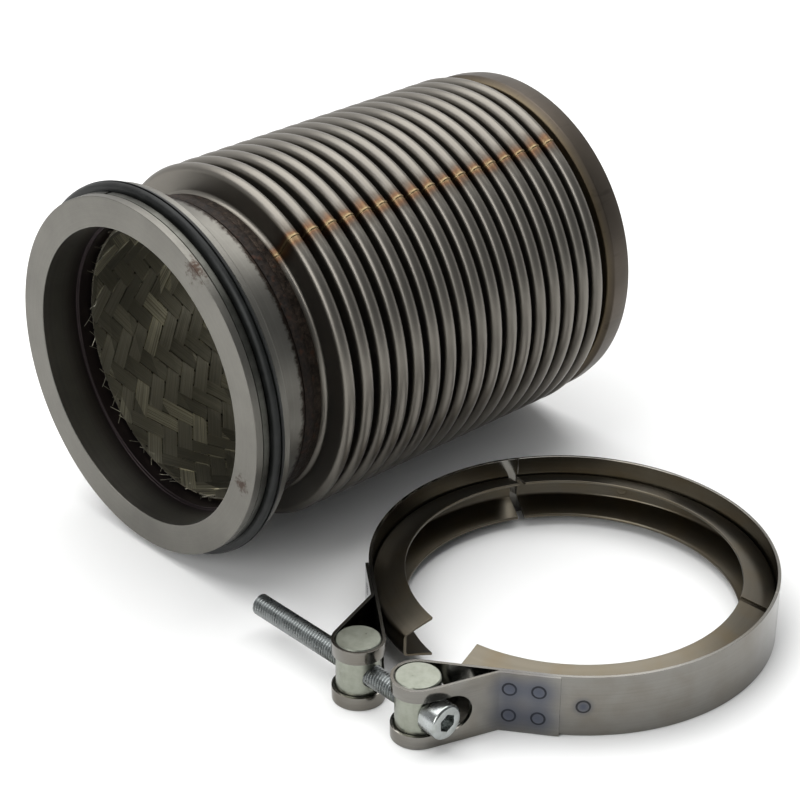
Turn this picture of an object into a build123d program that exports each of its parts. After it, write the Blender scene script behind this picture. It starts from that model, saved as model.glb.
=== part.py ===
"""Metal bellows expansion joint with its V-band clamp.

Row frame: the origin is the centre of the flange's front face, +X runs along the
bellows axis to the rear cuff and +Z is up.  The clamp lies flat beside the bellows,
with its screw on the -X side.  Millimetres throughout.
"""

import os
from math import acos, asin, cos, degrees, exp, hypot, radians, sin, tan

from build123d import *

# ---------------------------------------------------------------- driving dimensions
# flange
NOSE_R = 70.0
BORE_R = 58.25
BORE_DEPTH = 16.0
INNER_R = 57.0
NECK_R = 61.0
NECK_END = 30.4
RIM_R = 71.5
RIM_FRONT = 11.8
RIM_BACK = 14.5
V_ANGLE = 20.0
EDGE = 0.4

# seal rings
SPLIT_GROOVE = (3.3, 6.2)
SPLIT_GROOVE_R = 66.6
SPLIT_RING_R = NOSE_R - 0.02
SPLIT_RING_INNER_R = 67.1
SPLIT_RING_SIDE_PLAY = 0.15
SPLIT_LAND_R = 69.2
SPLIT_GAP = 2.0
SPLIT_GAP_ANGLE = 76.0
SEAL_FRONT = 6.8
SEAL_SEAT_R = 67.9
SEAL_R = 73.2
SEAL_GROOVE_X = 9.05
SEAL_GROOVE = (0.3, 1.0)

# bellows
CONVOLUTIONS = 17
CREST_R = 70.3
ROOT_R = 58.6
WALL = 0.8
CREST_HALF = 2.75
FIRST_CREST = 45.35
PITCH = 8.05
DRAW = 3.4
DRAW_DECAY = 3.0
END_ROOT = 2.0
FLEX_GAP = 1.8

# ends of the bellows
COLLAR_R = 59.9
COLLAR_FRONT = (35.4, 39.6)
BEAD_R = 61.7

# rear cuff
CUFF_R = 69.0
CUFF_LENGTH = 12.6
CUFF_TUBE_LEAD = 1.8
CUFF_FRONT_BEVEL = (2.4, 2.0)
CUFF_SHOULDER = 8.0
CUFF_TAPER = 0.2
CUFF_REAR_BEVEL = 1.2
CUFF_REAR_R = 68.1
CUFF_MOUTH = 1.0
CUFF_WEB = 4.0
CUFF_BORE_R = 63.6
REAR_WELD = 1.5

# liner
LINER_R = (54.3, 55.8)
LINER_START = 21.0
LINER_RING = (24.0, 29.0)

# clamp
BAND_R = 74.8
BAND_T = 1.2
BAND_WIDTH = 24.0
CLAMP_CENTRE = (88.0, -143.0)
FLEX_ANGLE = 118.0
FLEX_SLIT = 0.5
RETAINER_SLIT = 3.0
RETAINER_T = 1.2
RETAINER_LIP_R = 61.5
RETAINER_BASE_HALF = 4.2
RETAINER_LIP_HALF = 7.0
RETAINER_END_ANGLE = 10.5
TRUNNION_R = 8.0
TRUNNION_PITCH_R = 93.5
TRUNNION_ANGLE = 9.2
LOOP_CLEARANCE = 0.3
LOOP_JOIN_ANGLE = 24.3
FOLD_END_ANGLE = 40.0
WINDOW_HEIGHT = 14.0
WINDOW_BACK = 12.0

# screw, M8 x 90
SCREW_R = 4.0
SCREW_LENGTH = 90.0
SCREW_HEAD_R = 6.5
SCREW_HEAD = 8.0
SCREW_SEAT = 6.5
SCREW_SEAT_R = 7.0
SCREW_SEAT_GAP = 0.05
HEX_FLATS = 6.0
HEX_DEPTH = 4.0
SCREW_POINT = 1.2
PIN_HOLE_R = 4.5
NUT_HOLE_R = 4.3

# ---------------------------------------------------------------- worked-out places
FLOOR_Z = -SEAL_R
CLAMP_MID_Z = FLOOR_Z + BAND_WIDTH / 2
SHEET_R = BAND_R - BAND_T / 2
RETAINER_OUTER_R = BAND_R - BAND_T


def crest_x(number):
    """Place of a crest, from 1; the first few are drawn out a little."""
    steps = number - 1
    return FIRST_CREST + PITCH * steps + DRAW * (1 - exp(-steps / DRAW_DECAY))


def valley_x(number):
    """Middle of the valley behind a convolution; number 0 is in front of the first."""
    if number == 0:
        return crest_x(1) - CREST_HALF - END_ROOT
    if number == CONVOLUTIONS:
        return crest_x(CONVOLUTIONS) + CREST_HALF + END_ROOT
    return (crest_x(number) + crest_x(number + 1)) / 2


REAR_TUBE_START = valley_x(CONVOLUTIONS) + FLEX_GAP / 2
CUFF_FRONT = REAR_TUBE_START + CUFF_TUBE_LEAD
CUFF_BACK = CUFF_FRONT + CUFF_LENGTH
WEB_BACK = CUFF_FRONT + CUFF_WEB
REAR_TUBE_END = WEB_BACK - REAR_WELD
LINER_END = valley_x(CONVOLUTIONS) - 1.0


def write(name, part):
    """Label a finished piece and write its STEP file."""
    part.label = name
    export_step(part, f"parts/{name}.step")


def turned(points):
    """A ring turned about the bellows axis from (x, radius) corners."""
    with BuildPart() as ring:
        with BuildSketch(Plane.XY):
            with BuildLine():
                Polyline(*points, close=True)
            make_face()
        revolve(axis=Axis.X)
    return ring.part


# ---------------------------------------------------------------- flange
def v_flange():
    """Spigot nose, two seal seats, V rim and neck, bored through."""
    flank_foot = RIM_BACK + (RIM_R - NECK_R) * tan(radians(V_ANGLE))
    with BuildPart() as flange:
        with BuildSketch(Plane.XY):
            with BuildLine():
                Polyline(
                    (0, BORE_R),
                    (0, NOSE_R - EDGE),
                    (EDGE, NOSE_R),
                    (SPLIT_GROOVE[0], NOSE_R),
                    (SPLIT_GROOVE[0], SPLIT_GROOVE_R),
                    (SPLIT_GROOVE[1], SPLIT_GROOVE_R),
                    (SPLIT_GROOVE[1], SPLIT_LAND_R),
                    (SEAL_FRONT, SPLIT_LAND_R),
                    (SEAL_FRONT, SEAL_SEAT_R),
                    (RIM_FRONT, SEAL_SEAT_R),
                    (RIM_FRONT, RIM_R - EDGE),
                    (RIM_FRONT + EDGE, RIM_R),
                    (RIM_BACK, RIM_R),
                    (flank_foot, NECK_R),
                    (NECK_END, NECK_R),
                    (NECK_END, INNER_R),
                    (BORE_DEPTH, INNER_R),
                    (BORE_DEPTH, BORE_R),
                    close=True,
                )
            make_face()
        revolve(axis=Axis.X)
    return flange.part


def split_seal_ring():
    """Thin piston ring in the first groove, with its gap near the top."""
    front = SPLIT_GROOVE[0] + SPLIT_RING_SIDE_PLAY
    back = SPLIT_GROOVE[1] - SPLIT_RING_SIDE_PLAY
    gap_plane = Plane.XY.rotated((SPLIT_GAP_ANGLE, 0, 0))
    with BuildPart() as ring:
        with BuildSketch(Plane.XY):
            with BuildLine():
                Polyline(
                    (front, SPLIT_RING_INNER_R),
                    (front, SPLIT_RING_R - EDGE / 2),
                    (front + EDGE / 2, SPLIT_RING_R),
                    (back - EDGE / 2, SPLIT_RING_R),
                    (back, SPLIT_RING_R - EDGE / 2),
                    (back, SPLIT_RING_INNER_R),
                    close=True,
                )
            make_face()
        revolve(axis=Axis.X)
        with BuildSketch(gap_plane):
            with Locations(((front + back) / 2, NOSE_R)):
                Rectangle(4 * (back - front), 4 * (SPLIT_RING_R - SPLIT_RING_INNER_R))
        extrude(amount=SPLIT_GAP / 2, both=True, mode=Mode.SUBTRACT)
    return ring.part


def rear_seal_ring():
    """Rounded seal ring that stands proud of the rim, with one fine groove."""
    width = RIM_FRONT - SEAL_FRONT
    shoulder_r = SEAL_R - width / 2
    middle = SEAL_FRONT + width / 2
    with BuildPart() as ring:
        with BuildSketch(Plane.XY):
            with BuildLine():
                Polyline((RIM_FRONT, shoulder_r), (RIM_FRONT, SEAL_SEAT_R), (SEAL_FRONT, SEAL_SEAT_R),
                         (SEAL_FRONT, shoulder_r))
                CenterArc((middle, shoulder_r), width / 2, 0, 180)
            make_face()
            with Locations((SEAL_GROOVE_X, SEAL_R)):
                Rectangle(*SEAL_GROOVE, mode=Mode.SUBTRACT)
        revolve(axis=Axis.X)
    return ring.part


def weld_bead(start, end, foot_front_r, foot_back_r, top_r):
    """A fillet bead whose crown is an arc between its two feet."""
    middle = ((start + end) / 2, top_r)
    with BuildPart() as bead:
        with BuildSketch(Plane.XY):
            with BuildLine():
                ThreePointArc((start, foot_front_r), middle, (end, foot_back_r))
                Polyline((end, foot_back_r), (end, ROOT_R), (start, ROOT_R), (start, foot_front_r))
            make_face()
        revolve(axis=Axis.X)
    return bead.part


# ---------------------------------------------------------------- bellows
def wall_edge(number, depth):
    """One surface of a convolution's wall, valley to valley, at a depth under the outside."""
    crest = crest_x(number)
    left = crest - CREST_HALF - valley_x(number - 1)
    right = valley_x(number) - crest - CREST_HALF
    crest_y = CREST_R - CREST_HALF
    flank = CREST_HALF - depth
    CenterArc((valley_x(number - 1), ROOT_R + left), left + depth, 270, 90)
    Line((crest - flank, ROOT_R + left), (crest - flank, crest_y))
    CenterArc((crest, crest_y), flank, 0, 180)
    Line((crest + flank, crest_y), (crest + flank, ROOT_R + right))
    CenterArc((valley_x(number), ROOT_R + right), right + depth, 180, 90)


def convolution(number):
    """One hollow U-shaped ring of the bellows, cut back in the valleys where it flexes."""
    left = valley_x(number - 1)
    right = valley_x(number)
    with BuildPart() as ring:
        with BuildSketch(Plane.XY):
            with BuildLine():
                wall_edge(number, 0)
                wall_edge(number, WALL)
                Line((left, ROOT_R), (left, ROOT_R - WALL))
                Line((right, ROOT_R), (right, ROOT_R - WALL))
            make_face()
            with Locations((left, ROOT_R), (right, ROOT_R)):
                Rectangle(FLEX_GAP, 4 * WALL, mode=Mode.SUBTRACT)
        revolve(axis=Axis.X)
    return ring.part


def tube(start, end, inner_r, outer_r):
    """A plain ring about the bellows axis."""
    return turned([(start, inner_r), (start, outer_r), (end, outer_r), (end, inner_r)])


def end_collar(start, end):
    """Reinforcing collar over the bellows end, with rounded lips."""
    with BuildPart() as collar:
        with BuildSketch(Plane.XY):
            with Locations(((start + end) / 2, (ROOT_R + COLLAR_R) / 2)):
                Rectangle(end - start, COLLAR_R - ROOT_R)
            fillet(vertices().group_by(Axis.Y)[-1], radius=EDGE)
        revolve(axis=Axis.X)
    return collar.part


# ---------------------------------------------------------------- rear cuff
def rear_cuff():
    """Turned socket ring; its web has a chamfer that holds the weld to the bellows end."""
    with BuildPart() as cuff:
        with BuildSketch(Plane.XY):
            with BuildLine():
                Polyline(
                    (CUFF_FRONT, ROOT_R),
                    (CUFF_FRONT, CUFF_R - CUFF_FRONT_BEVEL[1]),
                    (CUFF_FRONT + CUFF_FRONT_BEVEL[0], CUFF_R),
                    (CUFF_FRONT + CUFF_SHOULDER, CUFF_R - CUFF_TAPER),
                    (CUFF_BACK - CUFF_REAR_BEVEL, CUFF_REAR_R),
                    (CUFF_BACK, CUFF_REAR_R - CUFF_REAR_BEVEL),
                    (CUFF_BACK, CUFF_BORE_R + CUFF_MOUTH),
                    (CUFF_BACK - CUFF_MOUTH, CUFF_BORE_R),
                    (WEB_BACK, CUFF_BORE_R),
                    (WEB_BACK, ROOT_R + REAR_WELD),
                    (REAR_TUBE_END, ROOT_R),
                    close=True,
                )
            make_face()
        revolve(axis=Axis.X)
    return cuff.part


def rear_weld():
    """Bead that joins the end of the bellows to the chamfer of the cuff's web."""
    crown = REAR_WELD - EDGE / 2
    foot = (REAR_TUBE_END, ROOT_R - WALL)
    return turned([foot, (REAR_TUBE_END, ROOT_R), (REAR_TUBE_END + crown, ROOT_R + crown)])


# ---------------------------------------------------------------- clamp
def clamp_point(radius, angle, side):
    """A point of the clamp in plan; angles run from the opening, side is +1 or -1 along Y."""
    u = radius * cos(radians(angle))
    v = radius * sin(radians(angle))
    return (CLAMP_CENTRE[0] - u, CLAMP_CENTRE[1] + side * v)


def clamp_arc(radius, start, end, side):
    """An arc about the clamp's centre between two angles from the opening."""
    first = clamp_point(radius, start, side)
    middle = clamp_point(radius, (start + end) / 2, side)
    last = clamp_point(radius, end, side)
    ThreePointArc(first, middle, last)


FLEX_SLIT_ANGLE = degrees(FLEX_SLIT / 2 / SHEET_R)
TRUNNIONS = {side: clamp_point(TRUNNION_PITCH_R, TRUNNION_ANGLE, side) for side in (1, -1)}


def band_middle():
    """The back third of the band, between its two flex points."""
    with BuildPart() as band:
        with BuildSketch(Plane.XY.offset(FLOOR_Z)):
            with BuildLine() as line:
                start = clamp_point(SHEET_R, FLEX_ANGLE + FLEX_SLIT_ANGLE, 1)
                end = clamp_point(SHEET_R, FLEX_ANGLE + FLEX_SLIT_ANGLE, -1)
                ThreePointArc(start, clamp_point(SHEET_R, 180, 1), end)
            trace(line.line, BAND_T)
        extrude(amount=BAND_WIDTH)
    return band.part


def band_arm(side):
    """One arm: arc, straight run, loop round its trunnion and fold-back along the outside."""
    loop_r = TRUNNION_R + LOOP_CLEARANCE + BAND_T / 2
    lap_r = SHEET_R + BAND_T
    leave = TRUNNION_ANGLE + degrees(acos((SHEET_R + loop_r) / TRUNNION_PITCH_R))

    def on_run(offset, angle):
        """A point on the straight run, a distance outside its sheet's middle."""
        return clamp_point((SHEET_R + offset) / cos(radians(leave - angle)), angle, side)

    trunnion = Vector(*TRUNNIONS[side])
    outward = Vector(*clamp_point(1, leave, side)) - Vector(*CLAMP_CENTRE)
    inner_touch = trunnion - outward * loop_r
    join = Vector(*on_run(BAND_T, LOOP_JOIN_ANGLE))
    reach = (trunnion - join).length
    along = (trunnion - join).normalized()
    across = (outward - along * outward.dot(along)).normalized()
    spread = asin(loop_r / reach)
    outer_touch = join + (along * cos(spread) + across * sin(spread)) * reach * cos(spread)
    nose = trunnion - (inner_touch + outer_touch - trunnion * 2).normalized() * loop_r
    with BuildPart() as arm:
        with BuildSketch(Plane.XY.offset(FLOOR_Z)):
            with BuildLine() as line:
                clamp_arc(SHEET_R, FLEX_ANGLE - FLEX_SLIT_ANGLE, leave, side)
                Line(clamp_point(SHEET_R, leave, side), inner_touch)
                ThreePointArc(inner_touch, nose, outer_touch)
                Line(outer_touch, join)
                Line(join, clamp_point(lap_r, leave, side))
                clamp_arc(lap_r, leave, FOLD_END_ANGLE, side)
            for edge in line.edges():
                trace(edge, BAND_T)
        extrude(amount=BAND_WIDTH)
        with BuildSketch(Plane.XZ.offset(-trunnion.Y)):
            with Locations((trunnion.X + WINDOW_BACK - WINDOW_HEIGHT / 2, CLAMP_MID_Z)):
                Circle(WINDOW_HEIGHT / 2)
                Rectangle(4 * TRUNNION_R, WINDOW_HEIGHT, align=(Align.MAX, Align.CENTER))
        extrude(amount=2.5 * TRUNNION_R, both=True, mode=Mode.SUBTRACT)
    return arm.part


def retainer(start, end):
    """A V segment of the clamp between two angles from the +X side."""
    base_r = RETAINER_OUTER_R - RETAINER_T
    lean = (RETAINER_LIP_HALF - RETAINER_BASE_HALF) / (base_r - RETAINER_LIP_R)
    skin = RETAINER_T * hypot(1, lean)
    turn = radians(start)
    plane = Plane(
        origin=(*CLAMP_CENTRE, CLAMP_MID_Z),
        x_dir=(cos(turn), sin(turn), 0),
        z_dir=(sin(turn), -cos(turn), 0),
    )
    with BuildPart() as segment:
        with BuildSketch(plane):
            with BuildLine():
                Polyline(
                    (RETAINER_OUTER_R, RETAINER_BASE_HALF),
                    (RETAINER_LIP_R, RETAINER_LIP_HALF + skin),
                    (RETAINER_LIP_R, RETAINER_LIP_HALF),
                    (base_r, RETAINER_BASE_HALF - lean * RETAINER_T),
                    (base_r, -RETAINER_BASE_HALF + lean * RETAINER_T),
                    (RETAINER_LIP_R, -RETAINER_LIP_HALF),
                    (RETAINER_LIP_R, -RETAINER_LIP_HALF - skin),
                    (RETAINER_OUTER_R, -RETAINER_BASE_HALF),
                    close=True,
                )
            make_face()
        revolve(axis=Axis((*CLAMP_CENTRE, 0), (0, 0, 1)), revolution_arc=end - start)
    return segment.part


def trunnion(side, hole_r, seat):
    """A barrel across the band with a cross hole for the screw, and a flat where the head seats."""
    x, y = TRUNNIONS[side]
    with BuildPart() as barrel:
        with BuildSketch(Plane.XY.offset(FLOOR_Z)):
            with Locations((x, y)):
                Circle(TRUNNION_R)
        extrude(amount=BAND_WIDTH)
        chamfer(barrel.edges().filter_by(GeomType.CIRCLE), length=EDGE)
        with BuildSketch(Plane.XZ.offset(-y)):
            with Locations((x, CLAMP_MID_Z)):
                Circle(hole_r)
        extrude(amount=2 * TRUNNION_R, both=True, mode=Mode.SUBTRACT)
        if seat:
            with BuildSketch(Plane.XZ.offset(-y + SCREW_SEAT)):
                with Locations((x, CLAMP_MID_Z)):
                    Circle(SCREW_SEAT_R)
            extrude(amount=TRUNNION_R, mode=Mode.SUBTRACT)
    return barrel.part


def clamp_screw():
    """Socket head cap screw through both trunnions; its thread is a plain shank here."""
    x, y = TRUNNIONS[-1]
    seat_y = y - SCREW_SEAT - SCREW_SEAT_GAP
    with BuildPart() as screw:
        with BuildSketch(Plane.XZ.offset(-seat_y)):
            with Locations((x, CLAMP_MID_Z)):
                Circle(SCREW_R)
        extrude(amount=-SCREW_LENGTH)
        chamfer(screw.edges().group_by(Axis.Y)[-1], length=SCREW_POINT)
        with BuildSketch(Plane.XZ.offset(-seat_y)):
            with Locations((x, CLAMP_MID_Z)):
                Circle(SCREW_HEAD_R)
        extrude(amount=SCREW_HEAD)
        chamfer(screw.edges().group_by(Axis.Y)[0], length=2 * EDGE)
        with BuildSketch(Plane.XZ.offset(-seat_y + SCREW_HEAD)):
            with Locations((x, CLAMP_MID_Z)):
                RegularPolygon(HEX_FLATS / 2, 6, major_radius=False)
        extrude(amount=-HEX_DEPTH, mode=Mode.SUBTRACT)
    return screw.part


def main():
    """Build and write every piece."""
    os.makedirs("parts", exist_ok=True)
    write("v_flange", v_flange())
    write("split_seal_ring", split_seal_ring())
    write("rear_seal_ring", rear_seal_ring())
    write("liner_retaining_ring", tube(*LINER_RING, LINER_R[1], INNER_R))
    write("braided_liner", tube(LINER_START, LINER_END, *LINER_R))
    write("bellows_end_front", tube(NECK_END, valley_x(0) - FLEX_GAP / 2, ROOT_R - WALL, ROOT_R))
    write("end_collar_front", end_collar(*COLLAR_FRONT))
    write("weld_bead_front", weld_bead(NECK_END, COLLAR_FRONT[0], NECK_R, COLLAR_R - EDGE, BEAD_R))
    for number in range(1, CONVOLUTIONS + 1):
        write(f"bellows_convolution_{number:02d}", convolution(number))
    write("bellows_end_rear", tube(REAR_TUBE_START, REAR_TUBE_END, ROOT_R - WALL, ROOT_R))
    write("rear_cuff", rear_cuff())
    write("weld_bead_rear", rear_weld())
    write("clamp_band_middle", band_middle())
    write("clamp_band_nut_side", band_arm(1))
    write("clamp_band_head_side", band_arm(-1))
    slit = degrees(RETAINER_SLIT / 2 / BAND_R)
    flex = 180 - FLEX_ANGLE
    mouth = 180 - RETAINER_END_ANGLE
    write("retainer_middle", retainer(slit - flex, flex - slit))
    write("retainer_nut_side", retainer(flex + slit, mouth))
    write("retainer_head_side", retainer(-mouth, -flex - slit))
    write("barrel_nut", trunnion(1, NUT_HOLE_R, False))
    write("barrel_pin", trunnion(-1, PIN_HOLE_R, True))
    write("clamp_screw", clamp_screw())


main()
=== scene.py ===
"""Metal bellows expansion joint with a braided liner and a loose V-band clamp.

The sizes are the CAD model's, in millimetres; every mesh is in metres in the same frame:
+X runs along the bellows from the flange to the rear cuff and +Z is up.
"""

import logging
import math
import random
from dataclasses import dataclass, field
from enum import Enum

import bmesh
import bpy
from mathutils import Matrix, Vector


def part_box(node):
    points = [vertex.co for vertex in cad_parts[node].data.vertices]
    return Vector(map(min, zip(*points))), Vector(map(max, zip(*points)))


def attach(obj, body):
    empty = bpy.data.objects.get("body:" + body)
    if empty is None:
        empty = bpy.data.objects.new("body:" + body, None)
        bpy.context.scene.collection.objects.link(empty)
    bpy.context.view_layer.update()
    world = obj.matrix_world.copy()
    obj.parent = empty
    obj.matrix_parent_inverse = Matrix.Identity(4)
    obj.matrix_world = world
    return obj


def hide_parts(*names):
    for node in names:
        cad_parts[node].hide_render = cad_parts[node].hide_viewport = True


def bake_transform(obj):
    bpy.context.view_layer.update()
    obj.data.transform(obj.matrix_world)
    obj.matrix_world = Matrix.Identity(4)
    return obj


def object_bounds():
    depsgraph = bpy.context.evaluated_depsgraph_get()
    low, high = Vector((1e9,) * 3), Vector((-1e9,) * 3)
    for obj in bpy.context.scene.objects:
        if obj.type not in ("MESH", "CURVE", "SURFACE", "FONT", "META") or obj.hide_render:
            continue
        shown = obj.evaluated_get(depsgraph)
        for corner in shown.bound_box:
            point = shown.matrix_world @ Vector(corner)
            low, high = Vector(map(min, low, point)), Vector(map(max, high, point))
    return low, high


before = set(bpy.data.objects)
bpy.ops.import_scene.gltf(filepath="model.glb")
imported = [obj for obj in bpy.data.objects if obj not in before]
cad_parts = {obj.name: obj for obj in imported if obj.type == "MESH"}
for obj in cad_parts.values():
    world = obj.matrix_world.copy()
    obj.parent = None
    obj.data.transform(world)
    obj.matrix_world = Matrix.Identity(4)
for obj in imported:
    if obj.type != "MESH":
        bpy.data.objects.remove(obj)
CAD_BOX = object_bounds()

MM = 0.001
STEPS = 192
SMOOTH_ANGLE = math.radians(32)
WELD_DOUBLES = 0.002 * MM
# Shared by the meshes and the finishes that follow them.
SEAM_ANGLE = 34.33
BRAID_R = 55.05
BRAID_LEAD = 1.43
BRAID_STRANDS = 32
log = logging.getLogger("expansion_joint")

Point = tuple[float, float]
Spot = tuple[float, float, float, float]
Colour = tuple[float, float, float, float]
Socket = bpy.types.NodeSocket
Pattern = tuple[Socket, Socket, Socket, float]
Tree = bpy.types.NodeTree
Piece = bpy.types.Object


# ---------------------------------------------------------------- modelling
class Plan(Enum):
    """The plane that a pen draws in; the value is the axis that its arcs turn about."""

    SECTION = (0.0, -1.0, 0.0)
    PLAN = (0.0, 0.0, 1.0)


class Hand(Enum):
    """Which way a strand of the braid winds as it goes back along the liner."""

    LEFT = -1
    RIGHT = 1


class Side(Enum):
    """The two arms of the clamp, by what their trunnion holds; the value is along Y."""

    NUT = 1
    HEAD = -1


def metres(*values: float) -> Vector:
    """A point or a direction given in millimetres, in metres."""
    return Vector(values) * MM


def activate(piece: Piece) -> None:
    """Deselect everything, then select one piece and make it active.

    Args:
        piece: The piece.
    """
    bpy.ops.object.select_all(action="DESELECT")
    piece.select_set(True)
    bpy.context.view_layer.objects.active = piece


def edit_all(piece: Piece) -> None:
    """Enter edit mode on a piece with all of it selected.

    Args:
        piece: The piece.
    """
    activate(piece)
    bpy.ops.object.mode_set(mode="EDIT")
    bpy.ops.mesh.select_all(action="SELECT")


def leave_edit() -> None:
    """Go back to object mode."""
    bpy.ops.object.mode_set(mode="OBJECT")


def turn_selected(degrees: float, axis: str, centre: Vector) -> None:
    """Turn what is selected; with no window the operator's own sense is reversed."""
    bpy.ops.transform.rotate(value=-math.radians(degrees), orient_axis=axis, center_override=centre)


def select_near(piece: Piece, places: list[Vector], reach: float) -> None:
    """Select only the vertices of a mesh in edit mode that lie near some places.

    Args:
        piece: The piece, in edit mode.
        places: Points in metres.
        reach: How near a vertex has to be, in metres.
    """
    bpy.ops.mesh.select_all(action="DESELECT")
    mesh = bmesh.from_edit_mesh(piece.data)
    for vertex in mesh.verts:
        vertex.select = any((vertex.co - place).length < reach for place in places)
    mesh.select_flush(True)
    bmesh.update_edit_mesh(piece.data)


def apply_modifier(piece: Piece, kind: str, **settings: object) -> None:
    """Add a modifier with its settings and apply it.

    Args:
        piece: The piece.
        kind: The modifier's type.
        settings: Its settings by name.
    """
    activate(piece)
    bpy.ops.object.modifier_add(type=kind)
    modifier = piece.modifiers[-1]
    for name, value in settings.items():
        setattr(modifier, name, value)
    bpy.ops.object.modifier_apply(modifier=modifier.name)


def round_edges(piece: Piece, width: float, segments: int = 2) -> None:
    """Break the sharp edges of a piece with a small radius, in millimetres."""
    apply_modifier(piece, "BEVEL", width=width * MM, segments=segments, limit_method="ANGLE",
                   angle_limit=math.radians(35), use_clamp_overlap=True)


def tidy(piece: Piece) -> None:
    """Merge doubles, turn the faces outwards and smooth all but the sharp edges.

    Args:
        piece: The piece.
    """
    edit_all(piece)
    bpy.ops.mesh.remove_doubles(threshold=WELD_DOUBLES)
    bpy.ops.mesh.select_all(action="SELECT")
    bpy.ops.mesh.normals_make_consistent(inside=False)
    leave_edit()
    bpy.ops.object.shade_smooth_by_angle(angle=SMOOTH_ANGLE)


def cut_away(piece: Piece, cutter: Piece) -> None:
    """Take a cutter's shape out of a piece and throw the cutter away."""
    apply_modifier(piece, "BOOLEAN", operation="DIFFERENCE", solver="EXACT", object=cutter)
    bpy.data.objects.remove(cutter, do_unlink=True)


def joined(name: str, pieces: list[Piece]) -> Piece:
    """Join pieces into one that has the first one's place, under a new name.

    Args:
        name: The name of the result.
        pieces: The pieces; the first one stays.

    Returns:
        The joined piece.
    """
    activate(pieces[0])
    for piece in pieces:
        piece.select_set(True)
    bpy.ops.object.join()
    pieces[0].name = name
    pieces[0].data.name = name
    return pieces[0]


class Pen:
    """Draws a wire in edit mode with operators; its tip is the one selected vertex."""

    def __init__(self, name: str, plan: Plan, start: Point, offset: float = 0.0) -> None:
        """Put the pen down.

        Args:
            name: The piece's name.
            plan: The plane to draw in: (x, z) for a section, (x, y) for a plan.
            start: Where the wire starts, in millimetres.
            offset: The plane's own y or z, in millimetres.
        """
        self.plan = plan
        self.offset = offset
        self.tip = start
        bpy.ops.object.select_all(action="DESELECT")
        bpy.ops.mesh.primitive_plane_add(size=MM, location=self.spot(start))
        self.piece = bpy.context.object
        self.piece.name = name
        self.piece.data.name = name
        bpy.ops.object.transform_apply(location=True, rotation=False, scale=False)
        bpy.ops.object.mode_set(mode="EDIT")
        bpy.ops.mesh.merge(type="CENTER")

    def spot(self, point: Point) -> Vector:
        """A point of the drawing in space, in metres.

        Args:
            point: The point, in millimetres.

        Returns:
            The point, in metres.
        """
        if self.plan is Plan.SECTION:
            return metres(point[0], self.offset, point[1])
        return metres(point[0], point[1], self.offset)

    def line(self, *points: Point) -> "Pen":
        """Draw straight lines through points, and return the pen.

        Args:
            points: The points in order, in millimetres.

        Returns:
            The pen.
        """
        for point in points:
            step = self.spot(point) - self.spot(self.tip)
            bpy.ops.mesh.extrude_vertices_move(TRANSFORM_OT_translate={"value": step})
            self.tip = point
        return self

    def arc(self, centre: Point, degrees: float, steps: int) -> "Pen":
        """Draw an arc about a centre, anticlockwise when positive, and return the pen.

        Args:
            centre: The arc's centre, in millimetres.
            degrees: How far it goes.
            steps: How many straight steps it is made of.

        Returns:
            The pen.
        """
        bpy.ops.mesh.spin(steps=steps, angle=-math.radians(degrees), center=self.spot(centre),
                          axis=self.plan.value)
        reach = Vector((self.tip[0] - centre[0], self.tip[1] - centre[1]))
        turn = math.radians(degrees)
        self.tip = (
            centre[0] + reach.x * math.cos(turn) - reach.y * math.sin(turn),
            centre[1] + reach.x * math.sin(turn) + reach.y * math.cos(turn),
        )
        return self

    def close(self, start: Point) -> "Pen":
        """Draw back to the start, weld the ends and return the pen.

        Args:
            start: Where the wire started.

        Returns:
            The pen.
        """
        self.line(start)
        bpy.ops.mesh.select_all(action="SELECT")
        bpy.ops.mesh.remove_doubles(threshold=0.005 * MM)
        return self

    def soften(self, corners: list[Point], radius: float, segments: int = 3) -> "Pen":
        """Round some corners of the wire and return the pen.

        Args:
            corners: The corners, in millimetres.
            radius: Size of the rounds, in millimetres.
            segments: Edges in each round.

        Returns:
            The pen.
        """
        select_near(self.piece, [self.spot(corner) for corner in corners], 0.02 * MM)
        bpy.ops.mesh.bevel(offset=radius * MM, segments=segments, affect="VERTICES")
        return self

    def turn(self, edge: float = 0.0, start: float = 0.0, sweep: float = 360.0,
             steps: int = STEPS) -> Piece:
        """Turn the closed wire about the bellows axis.

        Args:
            edge: Radius that breaks the sharp edges, in millimetres.
            start: Angle that the wire is swung to first, in degrees.
            sweep: How far it turns, in degrees.
            steps: Faces round the ring.

        Returns:
            The finished ring.
        """
        bpy.ops.mesh.select_all(action="SELECT")
        if start:
            turn_selected(start, "X", Vector())
        bpy.ops.mesh.spin(steps=steps, angle=-math.radians(sweep), center=(0, 0, 0), axis=(1, 0, 0),
                          use_auto_merge=sweep == 360.0)
        return self.finish(edge, sweep < 360.0)

    def finish(self, edge: float, open_ends: bool) -> Piece:
        """Close a turned piece, leave edit mode, break its edges and smooth it.

        Args:
            edge: Radius that breaks the sharp edges, in millimetres.
            open_ends: Whether the turn stops short of a full ring.

        Returns:
            The finished piece.
        """
        if open_ends:
            bpy.ops.mesh.select_all(action="SELECT")
            bpy.ops.mesh.remove_doubles(threshold=WELD_DOUBLES)
            bpy.ops.mesh.select_all(action="SELECT")
            bpy.ops.mesh.fill_holes(sides=0)
        leave_edit()
        tidy(self.piece)
        if edge:
            round_edges(self.piece, edge)
            tidy(self.piece)
        return self.piece


# ---------------------------------------------------------------- finishes
def linear(code: str, share: float = 1.0) -> Colour:
    """An sRGB hex colour, or a share of its light, as the linear colour that a shader takes.

    Args:
        code: The colour, such as #a0b0c0.
        share: How much of its light.

    Returns:
        Red, green, blue and alpha.
    """
    parts = (int(code[place:place + 2], 16) / 255 for place in (1, 3, 5))
    return (*(share * (part / 12.92 if part <= 0.04045 else ((part + 0.055) / 1.055) ** 2.4)
              for part in parts), 1.0)


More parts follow.
